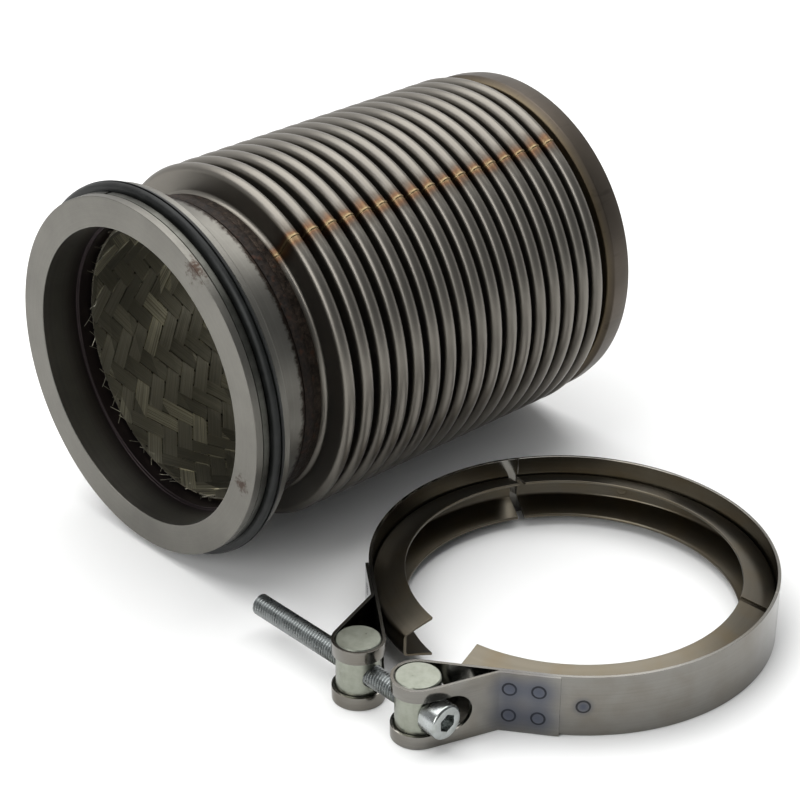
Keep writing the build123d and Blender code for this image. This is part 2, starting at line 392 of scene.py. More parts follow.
def per(size: float) -> float:
    """The scale that makes a pattern repeat about once in a size given in millimetres."""
    return 1.0 / (size * MM)


def add(tree: Tree, kind: str, settings: dict | None = None, inputs: dict | None = None,
        stops: list | None = None, out: int | str = 0) -> Socket:
    """Add a node with its settings and links.

    Args:
        tree: The material's node tree.
        kind: The node's type, without the ShaderNode in front.
        settings: Properties of the node.
        inputs: Values for its sockets, or the sockets that are linked to them.
        stops: Places and colours or values of a colour ramp.
        out: Which of its outputs is wanted.

    Returns:
        That output of the new node.
    """
    node = tree.nodes.new("ShaderNode" + kind)
    for name, value in (settings or {}).items():
        setattr(node, name, value)
    for name, value in (inputs or {}).items():
        if isinstance(value, Socket):
            tree.links.new(value, node.inputs[name])
        else:
            node.inputs[name].default_value = value
    for number, (place, tone) in enumerate(stops or []):
        ramp = node.color_ramp.elements
        stop = ramp[number] if number < 2 else ramp.new(place)
        stop.position = place
        stop.color = linear(tone) if isinstance(tone, str) else (tone, tone, tone, 1.0)
    return node.outputs[out]


@dataclass(frozen=True)
class Places:
    """Where a point of the surface is: the coordinates that every pattern is made from."""

    point: Socket
    x: Socket
    y: Socket
    z: Socket
    radius: Socket
    rings: Socket


def places(tree: Tree) -> Places:
    """Object coordinates, their parts and the distance from the bellows axis, in metres.

    Args:
        tree: The material's node tree.

    Returns:
        The coordinates, as sockets.
    """
    point = add(tree, "TexCoord", out="Object")
    parts = add(tree, "SeparateXYZ", inputs={0: point}).node.outputs
    across = add(tree, "CombineXYZ", inputs={1: parts[1], 2: parts[2]})
    radius = add(tree, "VectorMath", {"operation": "LENGTH"}, {0: across}, out="Value")
    rings = add(tree, "CombineXYZ", inputs={0: parts[0], 1: radius})
    return Places(point, parts[0], parts[1], parts[2], radius, rings)


def blend_tones(tree: Tree, factor: Socket | float, first: Socket | Colour, second: Socket | Colour,
                mode: str = "MIX") -> Socket:
    """Two colours mixed by a factor."""
    return add(tree, "Mix", {"data_type": "RGBA", "blend_type": mode},
               {0: factor, 6: first, 7: second}, out=2)


@dataclass(frozen=True)
class Finish:
    """A finish: its name, its colour and gloss, and the pattern that a subclass draws."""

    name: str
    tone: str
    roughness: float
    metallic: float = 1.0

    def material(self) -> bpy.types.Material:
        """The material of this finish, made once.

        Returns:
            The material.
        """
        made = bpy.data.materials.get(self.name)
        if made:
            return made
        made = bpy.data.materials.new(self.name)
        made.use_nodes = True
        tree = made.node_tree
        shader = tree.nodes["Principled BSDF"]
        shader.inputs["Metallic"].default_value = self.metallic
        colour, gloss, relief, depth = self.pattern(tree, places(tree))
        tree.links.new(colour, shader.inputs["Base Color"])
        tree.links.new(gloss, shader.inputs["Roughness"])
        bump = add(tree, "Bump", inputs={"Strength": 1.0, "Distance": depth * MM, "Height": relief})
        tree.links.new(bump, shader.inputs["Normal"])
        return made

    def pattern(self, tree: Tree, at: Places) -> Pattern:
        """Colour, roughness and relief sockets, and the relief's depth in millimetres."""
        raise NotImplementedError

    def gloss(self, tree: Tree, wear: Socket, spread: float) -> Socket:
        """The finish's roughness, raised and lowered by a pattern from 0 to 1."""
        return add(tree, "MapRange", inputs={"Value": wear, "To Min": self.roughness - spread,
                                             "To Max": self.roughness + spread})


@dataclass(frozen=True)
class TurnedSteel(Finish):
    """Turned carbon steel: fine tool marks give the flange its satin sheen, with light stains."""

    mark: float = 0.45  # about twice a real tool mark's spacing, which would not show
    cloud: float = 26.0
    grain: float = 2.2
    stain: str = "#3c2b22"
    # painted shade: the bore wall darkens to this tone further in
    bore_shade_tone: str = "#3a3334"
    scale: str = "#231b16"
    bore: tuple[float, float, float] = (59.0, 7.0, 17.0)
    neck: Point = (25.5, 30.0)
    smudges: tuple[Spot, ...] = ((0.5, -38.5, 58.5, 10.0), (0.5, -61.0, -19.0, 7.0))

    def pattern(self, tree: Tree, at: Places) -> Pattern:
        """Tool marks follow x and radius; stains and painted shade deeper in the bore lie over them.

        Args:
            tree: The material's node tree.
            at: Where a point of the surface is.

        Returns:
            Colour, roughness, relief and its depth in millimetres.
        """
        marks = add(tree, "TexNoise", inputs={"Vector": at.rings, "Scale": per(self.mark), "Detail": 3.0})
        cloud = add(tree, "TexNoise", inputs={"Vector": at.point, "Scale": per(self.cloud), "Detail": 5.0,
                                              "Roughness": 0.6})
        fine = add(tree, "TexNoise", inputs={"Vector": at.point, "Scale": per(self.grain), "Detail": 6.0,
                                             "Roughness": 0.7})
        body = blend_tones(tree, marks, linear(self.tone, 0.84), linear(self.tone, 1.12))
        clouds = add(tree, "ValToRGB", inputs={0: cloud}, stops=[(0.3, 0.86), (0.7, 1.08)])
        body = blend_tones(tree, 1.0, body, clouds, "MULTIPLY")
        for *place, reach in self.smudges:
            away = add(tree, "VectorMath", {"operation": "DISTANCE"}, {0: at.point, 1: metres(*place)},
                       out="Value")
            near = add(tree, "MapRange", inputs={"Value": away, "From Min": 0.0, "From Max": reach * MM,
                                                 "To Min": 0.32, "To Max": -0.1})
            near = add(tree, "Math", {"operation": "ADD"}, {0: near, 1: fine})
            patch = add(tree, "ValToRGB", inputs={0: near}, stops=[(0.6, 0.0), (0.78, 0.85)])
            body = blend_tones(tree, patch, body, linear(self.stain))
        begin, end = self.neck
        toward = add(tree, "MapRange", inputs={"Value": at.x, "From Min": begin * MM, "From Max": end * MM,
                                               "To Min": -0.55, "To Max": 0.3})
        toward = add(tree, "Math", {"operation": "ADD"}, {0: toward, 1: fine})
        burnt = add(tree, "ValToRGB", inputs={0: toward}, stops=[(0.45, 0.0), (0.75, 0.95)])
        body = blend_tones(tree, burnt, body, linear(self.scale))
        # Painted shade inside the bore: the wall darkens the deeper in it lies.
        limit, begin, end = self.bore
        inside = add(tree, "Math", {"operation": "LESS_THAN"}, {0: at.radius, 1: limit * MM})
        down = add(tree, "MapRange", {"interpolation_type": "SMOOTHSTEP"},
                   {"Value": at.x, "From Min": begin * MM, "From Max": end * MM})
        bore_shade = add(tree, "Math", {"operation": "MULTIPLY"}, {0: inside, 1: down})
        return blend_tones(tree, bore_shade, body, linear(self.bore_shade_tone)), self.gloss(tree, fine, 0.09), marks, 0.012


@dataclass(frozen=True)
class SealIron(Finish):
    """Cast iron or graphite-coated ring: nearly black, satin, with a trace of rubbed edges."""

    mark: float = 0.5
    cloud: float = 9.0

    def pattern(self, tree: Tree, at: Places) -> Pattern:
        """Fine circumferential marks and soft cloudy rubbing.

        Args:
            tree: The material's node tree.
            at: Where a point of the surface is.

        Returns:
            Colour, roughness, relief and its depth in millimetres.
        """
        marks = add(tree, "TexNoise", inputs={"Vector": at.rings, "Scale": per(self.mark), "Detail": 3.0})
        cloud = add(tree, "TexNoise", inputs={"Vector": at.point, "Scale": per(self.cloud), "Detail": 6.0,
                                              "Roughness": 0.65})
        tone = linear(self.tone)
        pale = (*(part * 1.7 + 0.01 for part in tone[:3]), 1.0)
        rubbed = add(tree, "ValToRGB", inputs={0: cloud}, stops=[(0.45, 0.0), (0.75, 0.8)])
        return blend_tones(tree, rubbed, tone, pale), self.gloss(tree, cloud, 0.1), marks, 0.01


@dataclass(frozen=True)
class WeldMetal(Finish):
    """Unbrushed weld metal: scaled, brown to black and rough, with rusty specks."""

    grain: float = 1.6
    burn: float = 7.0
    speck: float = 2.6
    scale: str = "#120f0d"
    rust: str = "#43291c"

    def pattern(self, tree: Tree, at: Places) -> Pattern:
        """Coarse grains of scale, burnt tones between them and rusty specks.

        Args:
            tree: The material's node tree.
            at: Where a point of the surface is.

        Returns:
            Colour, roughness, relief and its depth in millimetres.
        """
        grains = add(tree, "TexNoise", inputs={"Vector": at.point, "Scale": per(self.grain), "Detail": 8.0,
                                               "Roughness": 0.72})
        burnt = add(tree, "TexNoise", inputs={"Vector": at.point, "Scale": per(self.burn), "Detail": 4.0})
        specks = add(tree, "TexNoise", inputs={"Vector": at.point, "Scale": per(self.speck), "Detail": 5.0})
        body = add(tree, "ValToRGB", inputs={0: grains}, stops=[(0.35, self.scale), (0.72, self.tone)])
        dark = add(tree, "ValToRGB", inputs={0: burnt}, stops=[(0.35, 0.55), (0.65, 1.25)])
        body = blend_tones(tree, 1.0, body, dark, "MULTIPLY")
        rusty = add(tree, "ValToRGB", inputs={0: specks}, stops=[(0.6, 0.0), (0.7, 0.6)])
        body = blend_tones(tree, rusty, body, linear(self.rust))
        return body, self.gloss(tree, grains, 0.12), grains, 0.35


@dataclass(frozen=True)
class BellowsStainless(Finish):
    """Hydroformed stainless strip: satin grey, with a heat-tinted weld seam along it."""

    mark: float = 0.5
    cloud: float = 22.0
    ragged: float = 6.5
    stray: float = 3.4
    reach: float = 10.0
    line: Point = (0.3, 0.9)
    line_tone: str = "#938262"
    straw: str = "#80694c"
    amber: str = "#6d4a2e"
    brown: str = "#42362b"

    def seam(self, tree: Tree, at: Places) -> Socket:
        """Distance from the seam's line round the bellows, in metres, and large behind it.

        Args:
            tree: The material's node tree.
            at: Where a point of the surface is.

        Returns:
            The distance, as a socket.
        """
        turn = math.radians(SEAM_ANGLE)
        away = add(tree, "VectorMath", {"operation": "DOT_PRODUCT"},
                   {0: at.point, 1: (0.0, -math.cos(turn), -math.sin(turn))}, out="Value")
        front = add(tree, "VectorMath", {"operation": "DOT_PRODUCT"},
                    {0: at.point, 1: (0.0, -math.sin(turn), math.cos(turn))}, out="Value")
        near = add(tree, "Math", {"operation": "ABSOLUTE"}, {0: away})
        behind = add(tree, "Math", {"operation": "LESS_THAN"}, {0: front, 1: 0.0})
        return add(tree, "Math", {"operation": "ADD"}, {0: near, 1: behind})

    def pattern(self, tree: Tree, at: Places) -> Pattern:
        """Drawing marks round each crest, cloudy satin, and the seam's tint laid over them.

        Args:
            tree: The material's node tree.
            at: Where a point of the surface is.

        Returns:
            Colour, roughness, relief and its depth in millimetres.
        """
        marks = add(tree, "TexNoise", inputs={"Vector": at.rings, "Scale": per(self.mark), "Detail": 2.0})
        cloud = add(tree, "TexNoise", inputs={"Vector": at.point, "Scale": per(self.cloud), "Detail": 5.0,
                                              "Roughness": 0.6})
        body = blend_tones(tree, cloud, linear(self.tone, 0.84), linear(self.tone, 1.14))
        ragged = add(tree, "TexNoise", inputs={"Vector": at.point, "Scale": per(self.ragged), "Detail": 4.0})
        shift = add(tree, "MapRange", inputs={"Value": ragged, "To Min": -self.stray * MM,
                                              "To Max": self.stray * MM})
        near = self.seam(tree, at)
        spread = add(tree, "Math", {"operation": "ADD"}, {0: near, 1: shift})
        reach = add(tree, "MapRange", inputs={"Value": spread, "From Min": 0.0, "From Max": self.reach * MM})
        tint = add(tree, "ValToRGB", inputs={0: reach},
                   stops=[(0.02, self.straw), (0.16, self.amber), (0.42, self.brown), (1.0, self.tone)])
        cover = add(tree, "ValToRGB", inputs={0: reach}, stops=[(0.1, 0.85), (0.85, 0.0)])
        body = blend_tones(tree, cover, body, tint)
        begin, end = self.line
        line = add(tree, "MapRange", inputs={"Value": near, "From Min": begin * MM, "From Max": end * MM,
                                             "To Min": 0.6, "To Max": 0.0})
        body = blend_tones(tree, line, body, linear(self.line_tone))
        return body, self.gloss(tree, marks, 0.05), marks, 0.01


@dataclass(frozen=True)
class CuffSteel(Finish):
    """Turned steel cuff, scorched tan by welding, with faint runs along the axis."""

    run: Point = (30.0, 2.4)
    cloud: float = 14.0
    edge_tone: str = "#75684f"
    edge: Point = (184.0, 187.6)

    def pattern(self, tree: Tree, at: Places) -> Pattern:
        """A tan front edge, clouds, and dark runs that stretch along x.

        Args:
            tree: The material's node tree.
            at: Where a point of the surface is.

        Returns:
            Colour, roughness, relief and its depth in millimetres.
        """
        along, across = self.run
        runs = add(tree, "Mapping", inputs={"Vector": at.point,
                                            "Scale": (per(along), per(across), per(across))})
        runs = add(tree, "TexNoise", inputs={"Vector": runs, "Scale": 1.0, "Detail": 4.0})
        cloud = add(tree, "TexNoise", inputs={"Vector": at.point, "Scale": per(self.cloud), "Detail": 5.0})
        body = blend_tones(tree, cloud, linear(self.tone, 0.7), linear(self.tone, 1.25))
        streaks = add(tree, "ValToRGB", inputs={0: runs}, stops=[(0.28, 0.72), (0.42, 1.0)])
        body = blend_tones(tree, 1.0, body, streaks, "MULTIPLY")
        begin, end = self.edge
        front = add(tree, "MapRange", {"interpolation_type": "SMOOTHSTEP"},
                    {"Value": at.x, "From Min": begin * MM, "From Max": end * MM,
                     "To Min": 0.6, "To Max": 0.0})
        body = blend_tones(tree, front, body, linear(self.edge_tone))
        return body, self.gloss(tree, runs, 0.08), runs, 0.02


@dataclass(frozen=True)
class BraidWire(Finish):
    """Flat ribbons of stainless wire, olive with heat: each float has a tone of its own."""

    hand: Hand = Hand.RIGHT
    wire: float = 0.5  # a real wire is about half as wide and would not show
    length: float = 40.0
    stretch: float = 15.1
    shift: float = 0.37
    pale: str = "#c4bfa8"

    def pattern(self, tree: Tree, at: Places) -> Pattern:
        """Wires run along each ribbon; some ribbons are opened into bright single wires.

        Args:
            tree: The material's node tree.
            at: Where a point of the surface is.

        Returns:
            Colour, roughness, relief and its depth in millimetres.
        """
        angle = add(tree, "Math", {"operation": "ARCTAN2"}, {0: at.z, 1: at.y})
        round_it = add(tree, "Math", {"operation": "MULTIPLY"}, {0: angle, 1: BRAID_R * MM})
        back = add(tree, "Math", {"operation": "MULTIPLY"}, {0: at.x, 1: BRAID_LEAD * self.hand.value})
        across = add(tree, "Math", {"operation": "SUBTRACT"}, {0: round_it, 1: back})
        spacing = math.tau * BRAID_R / BRAID_STRANDS
        ribbon = add(tree, "Math", {"operation": "MULTIPLY_ADD"}, {0: across, 1: per(spacing), 2: 0.5})
        ribbon = add(tree, "Math", {"operation": "FLOOR"}, {0: ribbon})
        back = add(tree, "Math", {"operation": "MULTIPLY"}, {0: ribbon, 1: self.shift})
        bay = add(tree, "Math", {"operation": "MULTIPLY_ADD"}, {0: at.x, 1: per(self.stretch), 2: back})
        bay = add(tree, "Math", {"operation": "FLOOR"}, {0: bay})
        place = add(tree, "CombineXYZ", inputs={0: ribbon, 1: bay, 2: float(self.hand.value)})
        chance = add(tree, "TexWhiteNoise", {"noise_dimensions": "3D"}, {"Vector": place}, out="Value")
        lay = add(tree, "CombineXYZ", inputs={0: across, 1: at.x})
        lay = add(tree, "Mapping", inputs={"Vector": lay, "Scale": (per(self.wire), per(self.length), 1.0)})
        streaks = add(tree, "TexNoise", inputs={"Vector": lay, "Scale": 1.0, "Detail": 2.0})
        body = blend_tones(tree, chance, linear(self.tone, 0.7), linear(self.tone, 1.35))
        shade = add(tree, "ValToRGB", inputs={0: streaks}, stops=[(0.35, 0.78), (0.6, 1.06)])
        body = blend_tones(tree, 1.0, body, shade, "MULTIPLY")
        opened = add(tree, "ValToRGB", inputs={0: chance}, stops=[(0.8, 0.0), (0.83, 0.9)])
        bright = add(tree, "ValToRGB", inputs={0: streaks}, stops=[(0.46, 0.0), (0.56, 1.0)])
        opened = add(tree, "Math", {"operation": "MULTIPLY"}, {0: opened, 1: bright})
        body = blend_tones(tree, opened, body, linear(self.pale))
        return body, self.gloss(tree, streaks, 0.08), streaks, 0.08


@dataclass(frozen=True)
class RolledStainless(Finish):
    """Rolled stainless strip, polished: long faint rolling lines, blued where it was spot welded."""

    line: Point = (60.0, 0.5)  # real rolling lines lie closer together and would not show
    cloud: float = 13.0
    blue: str = "#3a4152"
    burnt: str = "#16171a"
    heat: tuple[Spot, ...] = ()
    ring: float = 2.3
    ring_half: float = 0.36
    worn: str = "#5a4f3c"
    wear: float = 0.35

    def pattern(self, tree: Tree, at: Places) -> Pattern:
        """Rolling lines run round the band; blue halos lie about the heated places.

        Args:
            tree: The material's node tree.
            at: Where a point of the surface is.

        Returns:
            Colour, roughness, relief and its depth in millimetres.
        """
        along, across = self.line
        lines = add(tree, "Mapping", inputs={"Vector": at.point,
                                             "Scale": (per(along), per(along), per(across))})
        lines = add(tree, "TexNoise", inputs={"Vector": lines, "Scale": 1.0, "Detail": 3.0})
        cloud = add(tree, "TexNoise", inputs={"Vector": at.point, "Scale": per(self.cloud), "Detail": 5.0})
        body = blend_tones(tree, lines, linear(self.tone, 0.86), linear(self.tone, 1.1))
        dull = add(tree, "ValToRGB", inputs={0: cloud}, stops=[(0.42, 0.0), (0.75, self.wear)])
        body = blend_tones(tree, dull, body, linear(self.worn))
        for *place, reach in self.heat:
            away = add(tree, "VectorMath", {"operation": "DISTANCE"}, {0: at.point, 1: metres(*place)},
                       out="Value")
            halo = add(tree, "MapRange", {"interpolation_type": "SMOOTHSTEP"},
                       {"Value": away, "From Min": 0.0, "From Max": reach * MM, "To Min": 0.8, "To Max": 0.0})
            body = blend_tones(tree, halo, body, linear(self.blue))
            edge = add(tree, "Math", {"operation": "COMPARE"},
                       {0: away, 1: self.ring * MM, 2: self.ring_half * MM})
            edge = add(tree, "Math", {"operation": "MULTIPLY"}, {0: edge, 1: 0.75})
            body = blend_tones(tree, edge, body, linear(self.burnt))
        return body, self.gloss(tree, cloud, 0.05), lines, 0.004


@dataclass(frozen=True)
class ZincPlate(Finish):
    """Zinc plate with a clear passivate: pale, slightly green, softly mottled."""

    mottle: float = 3.4
    grain: float = 0.4
    dull: str = "#6d7063"

    def pattern(self, tree: Tree, at: Places) -> Pattern:
        """Soft mottling with a fine grain.

        Args:
            tree: The material's node tree.
            at: Where a point of the surface is.

        Returns:
            Colour, roughness, relief and its depth in millimetres.
        """
        mottle = add(tree, "TexNoise", inputs={"Vector": at.point, "Scale": per(self.mottle), "Detail": 6.0,
                                               "Roughness": 0.6})
        grain = add(tree, "TexNoise", inputs={"Vector": at.point, "Scale": per(self.grain), "Detail": 3.0})
        cover = add(tree, "ValToRGB", inputs={0: mottle}, stops=[(0.3, 0.5), (0.62, 0.0)])
        body = blend_tones(tree, cover, linear(self.tone), linear(self.dull))
        return body, self.gloss(tree, mottle, 0.07), grain, 0.01


@dataclass(frozen=True)
class MattPaper(Finish):
    """Seamless background paper: pale, matt, without texture of its own."""

    fibre: float = 40.0

    def pattern(self, tree: Tree, at: Places) -> Pattern:
        """The faintest of fibres, so that the paper isn't quite flat in tone.

        Args:
            tree: The material's node tree.
            at: Where a point of the surface is.

        Returns:
            Colour, roughness, relief and its depth in millimetres.
        """
        fibres = add(tree, "TexNoise", inputs={"Vector": at.point, "Scale": per(self.fibre), "Detail": 3.0})
        body = blend_tones(tree, fibres, linear(self.tone, 0.985), linear(self.tone))
        return body, self.gloss(tree, fibres, 0.02), fibres, 0.01


# Turned carbon steel: a warm mid grey with a satin sheen that runs round the ring.
FLANGE_STEEL = TurnedSteel("turned steel", "#73716b", 0.42)
# Cast piston ring iron: a darker grey line in its groove.
RING_IRON = SealIron("piston ring iron", "#4e4e49", 0.38)
# Graphite coating on iron: nearly black, with one soft highlight along the crown.
SEAL_BLACK = SealIron("black seal coating", "#0f1110", 0.42, 0.5)
# Unbrushed weld bead: rough brown-black scale that catches almost no light.
WELD = WeldMetal("scaled weld metal", "#352920", 0.66, 0.6)
# Rolled collar next to the weld: the same scale, thinner, so that metal shows through.
SCORCHED = WeldMetal("scorched collar", "#4a4038", 0.5, 0.9)
# Hydroformed stainless strip: satin, with long highlights over the crests.
BELLOWS = BellowsStainless("formed stainless", "#77736c", 0.37)
# Turned carbon steel beside the rear weld: brown-grey with dark runs.
CUFF = CuffSteel("scorched cuff steel", "#524b43", 0.44)
# Stainless braid wire: the two hands differ a little in tone, which brings out the herringbone.
BRAID_RIGHT = BraidWire("braid wire right", "#8f8c7f", 0.45)
BRAID_LEFT = BraidWire("braid wire left", "#817e71", 0.45, hand=Hand.LEFT)
# Pressed stainless channel: like the band but duller and browner.
RETAINER = RolledStainless("pressed stainless", "#5c574d", 0.3, wear=0.6)
# Zinc plate on turned steel: matt grey-green barrels.
BARREL = ZincPlate("zinc plated barrel", "#92958a", 0.3, dull="#74776b")
# Zinc plate on a cold-headed screw: paler and glossier than the barrels.
SCREW = ZincPlate("zinc plated screw", "#b0b4b4", 0.26)
# Zinc plate on a rolled thread: a shade darker, since the flanks shade each other.
THREAD = ZincPlate("rolled zinc thread", "#9a9d9d", 0.28, dull="#858887")
# Background paper: an even near-white without gloss.
PAPER = MattPaper("background paper", "#f4f4f3", 0.9, 0.0)


def dress(piece: Piece, finish: Finish) -> Piece:
    """Give a piece its finish.

    Args:
        piece: The piece.
        finish: Its finish.

    Returns:
        The same piece.
    """
    piece.data.materials.clear()
    piece.data.materials.append(finish.material())
    return piece


def install(piece: Piece, finish: Finish, node: str, body: str) -> None:
    """Dress a piece, put it in a node's place and let it ride a body.

    Args:
        piece: The piece.
        finish: Its finish.
        node: The CAD node that it replaces.
        body: The body that it rides.
    """
    dress(piece, finish)
    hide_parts(node)
    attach(piece, body)
    log.info("built %s", piece.name)


def cylinder_along_y(sides: int, radius: float, length: float, middle: Vector) -> Piece:
    """A cutter: a prism along Y, in millimetres but for its middle, which is in metres.

    Args:
        sides: How many sides it has.
        radius: The radius, in millimetres.
        length: Its length, in millimetres.
        middle: Its middle, in metres.

    Returns:
        The cutter.
    """
    bpy.ops.object.select_all(action="DESELECT")
    bpy.ops.mesh.primitive_cylinder_add(vertices=sides, radius=radius * MM, depth=length * MM,
                                        location=middle, rotation=(math.pi / 2, 0, 0))
    bpy.ops.object.transform_apply(location=True, rotation=True, scale=True)
    return bpy.context.object


# ---------------------------------------------------------------- bellows
@dataclass
class Bellows:
    """Seventeen convolutions, each one piece from flank to flank, and the seam that crosses them."""

    count: int = 17
    crest_r: float = 70.3
    root: float = 58.6
    wall: float = 0.8
    crest_half: float = 2.75
    end_root: float = 2.0
    split_r: float = 64.4
    flex_gap: float = 1.8
    flex_lead: float = 1.0
    tube_start: float = 38.0
    seam_half: float = 0.42
    seam_height: float = 0.22
    crests: list[float] = field(default_factory=list)
    valleys: list[float] = field(default_factory=list)

    def __post_init__(self) -> None:
        """Read the places of the valleys from the CAD nodes, and work out the crests."""
        for number in range(1, self.count + 1):
            low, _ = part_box(f"bellows_convolution_{number:02d}")
            self.valleys.append(low.x / MM - self.flex_gap / 2)
        _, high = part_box(f"bellows_convolution_{self.count:02d}")
        self.valleys.append(high.x / MM + self.flex_gap / 2)
        self.crests.append(self.valleys[0] + self.end_root + self.crest_half)
        for valley in self.valleys[1:-1]:
            self.crests.append(2 * valley - self.crests[-1])

    def outside(self, pen: Pen, number: int, depth: float) -> None:
        """Draw the wall's surface backwards from the front end to the rear flank.

        Args:
            pen: The pen, at the surface's front end.
            number: The convolution, from 1.
            depth: How far under the outside the surface lies.
        """
        crest = self.crests[number - 1]
        valley = self.valleys[number - 1]
        left = crest - self.crest_half - valley
        centre = (valley, self.root + left)
        top = (crest, self.crest_r - self.crest_half)
        if number == 1:
            pen.line((valley, self.root - depth)).arc(centre, 90, 12)
        else:
            pen.line((valley - left - depth, centre[1])).arc(centre, 180, 20)
        pen.line((crest - self.crest_half + depth, top[1])).arc(top, -180, 28)
        pen.line((crest + self.crest_half - depth, self.split_r))

    def front_end(self, number: int, depth: float) -> Point:
        """Where a surface of a convolution's wall starts.

        Args:
            number: Which one, from 1.
            depth: How far under the outside, in millimetres.

        Returns:
            The point, in millimetres.
        """
        if number == 1:
            return (self.tube_start, self.root - depth)
        return (self.crests[number - 2] + self.crest_half - depth, self.split_r)

    def inside(self, pen: Pen, number: int) -> None:
        """Draw the wall's inner surface forwards from the rear flank to the front end.

        Args:
            pen: The pen that draws it.
            number: Which one, from 1.
        """
        crest = self.crests[number - 1]
        valley = self.valleys[number - 1]
        left = crest - self.crest_half - valley
        top = (crest, self.crest_r - self.crest_half)
        rear = crest + self.crest_half - self.wall
        pen.line((rear, self.split_r), (rear, top[1]))
        pen.arc(top, 180, 12)
        centre = (valley, self.root + left)
        pen.line((crest - self.crest_half + self.wall, centre[1]))
        pen.arc(centre, -90 if number == 1 else -180, 8 if number == 1 else 12)
        pen.line(self.front_end(number, self.wall))

    def convolution(self, number: int) -> Piece:
        """One convolution: a closed wall turned about the axis, with its stretch of seam.

        Args:
            number: Which one, from 1.

        Returns:
            The finished convolution.
        """
        start = self.front_end(number, 0.0)
        pen = Pen(f"convolution_{number:02d}_wall", Plan.SECTION, start)
        self.outside(pen, number, 0.0)
        self.inside(pen, number)
        wall = pen.close(start).turn()
        return joined(wall.name, [wall, self.seam(number)])

    def seam(self, number: int) -> Piece:
        """The raised line of the longitudinal weld where it crosses a convolution.

        Args:
            number: Which one, from 1.

        Returns:
            The strip of seam.
        """
        start = self.front_end(number, 0.0)
        pen = Pen("seam", Plan.SECTION, start, offset=-self.seam_half)
        self.outside(pen, number, 0.0)
        bpy.ops.mesh.select_all(action="SELECT")
        bpy.ops.mesh.extrude_region_move(TRANSFORM_OT_translate={"value": metres(0, 2 * self.seam_half, 0)})
        bpy.ops.mesh.select_all(action="SELECT")
        bpy.ops.mesh.normals_make_consistent(inside=False)
        turn_selected(SEAM_ANGLE, "X", Vector())
        leave_edit()
        apply_modifier(pen.piece, "SOLIDIFY", thickness=2 * self.seam_height * MM, offset=0.0)
        round_edges(pen.piece, self.seam_height * 0.7)
        tidy(pen.piece)
        return pen.piece

    def rear_end(self) -> Piece:
        """The last half valley and the straight end of the bellows inside the cuff.

        Returns:
            The finished end.
        """
        crest = self.crests[-1]
        valley = self.valleys[-1]
        _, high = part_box("bellows_end_rear")
        centre = (valley, self.root + self.end_root)
        start = (crest + self.crest_half, self.split_r)
        pen = Pen("bellows_tube_rear", Plan.SECTION, start).line((start[0], centre[1])).arc(centre, 90, 12)
        inner = self.root - self.wall
        pen.line((high.x / MM, self.root), (high.x / MM, inner), (valley, inner))
        pen.arc(centre, -90, 8).line((start[0] - self.wall, self.split_r))
        return pen.close(start).turn()

    def build(self) -> None:
        """Build and dress every convolution and the rear end of the bellows."""
        for number in range(1, self.count + 1):
            made = dress(self.convolution(number), BELLOWS)
            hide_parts(f"bellows_convolution_{number:02d}")
            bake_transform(made)
        rear = dress(self.rear_end(), BELLOWS)
        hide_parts("bellows_end_rear")
        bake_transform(rear)
        log.info("built the bellows with %d convolutions", self.count)


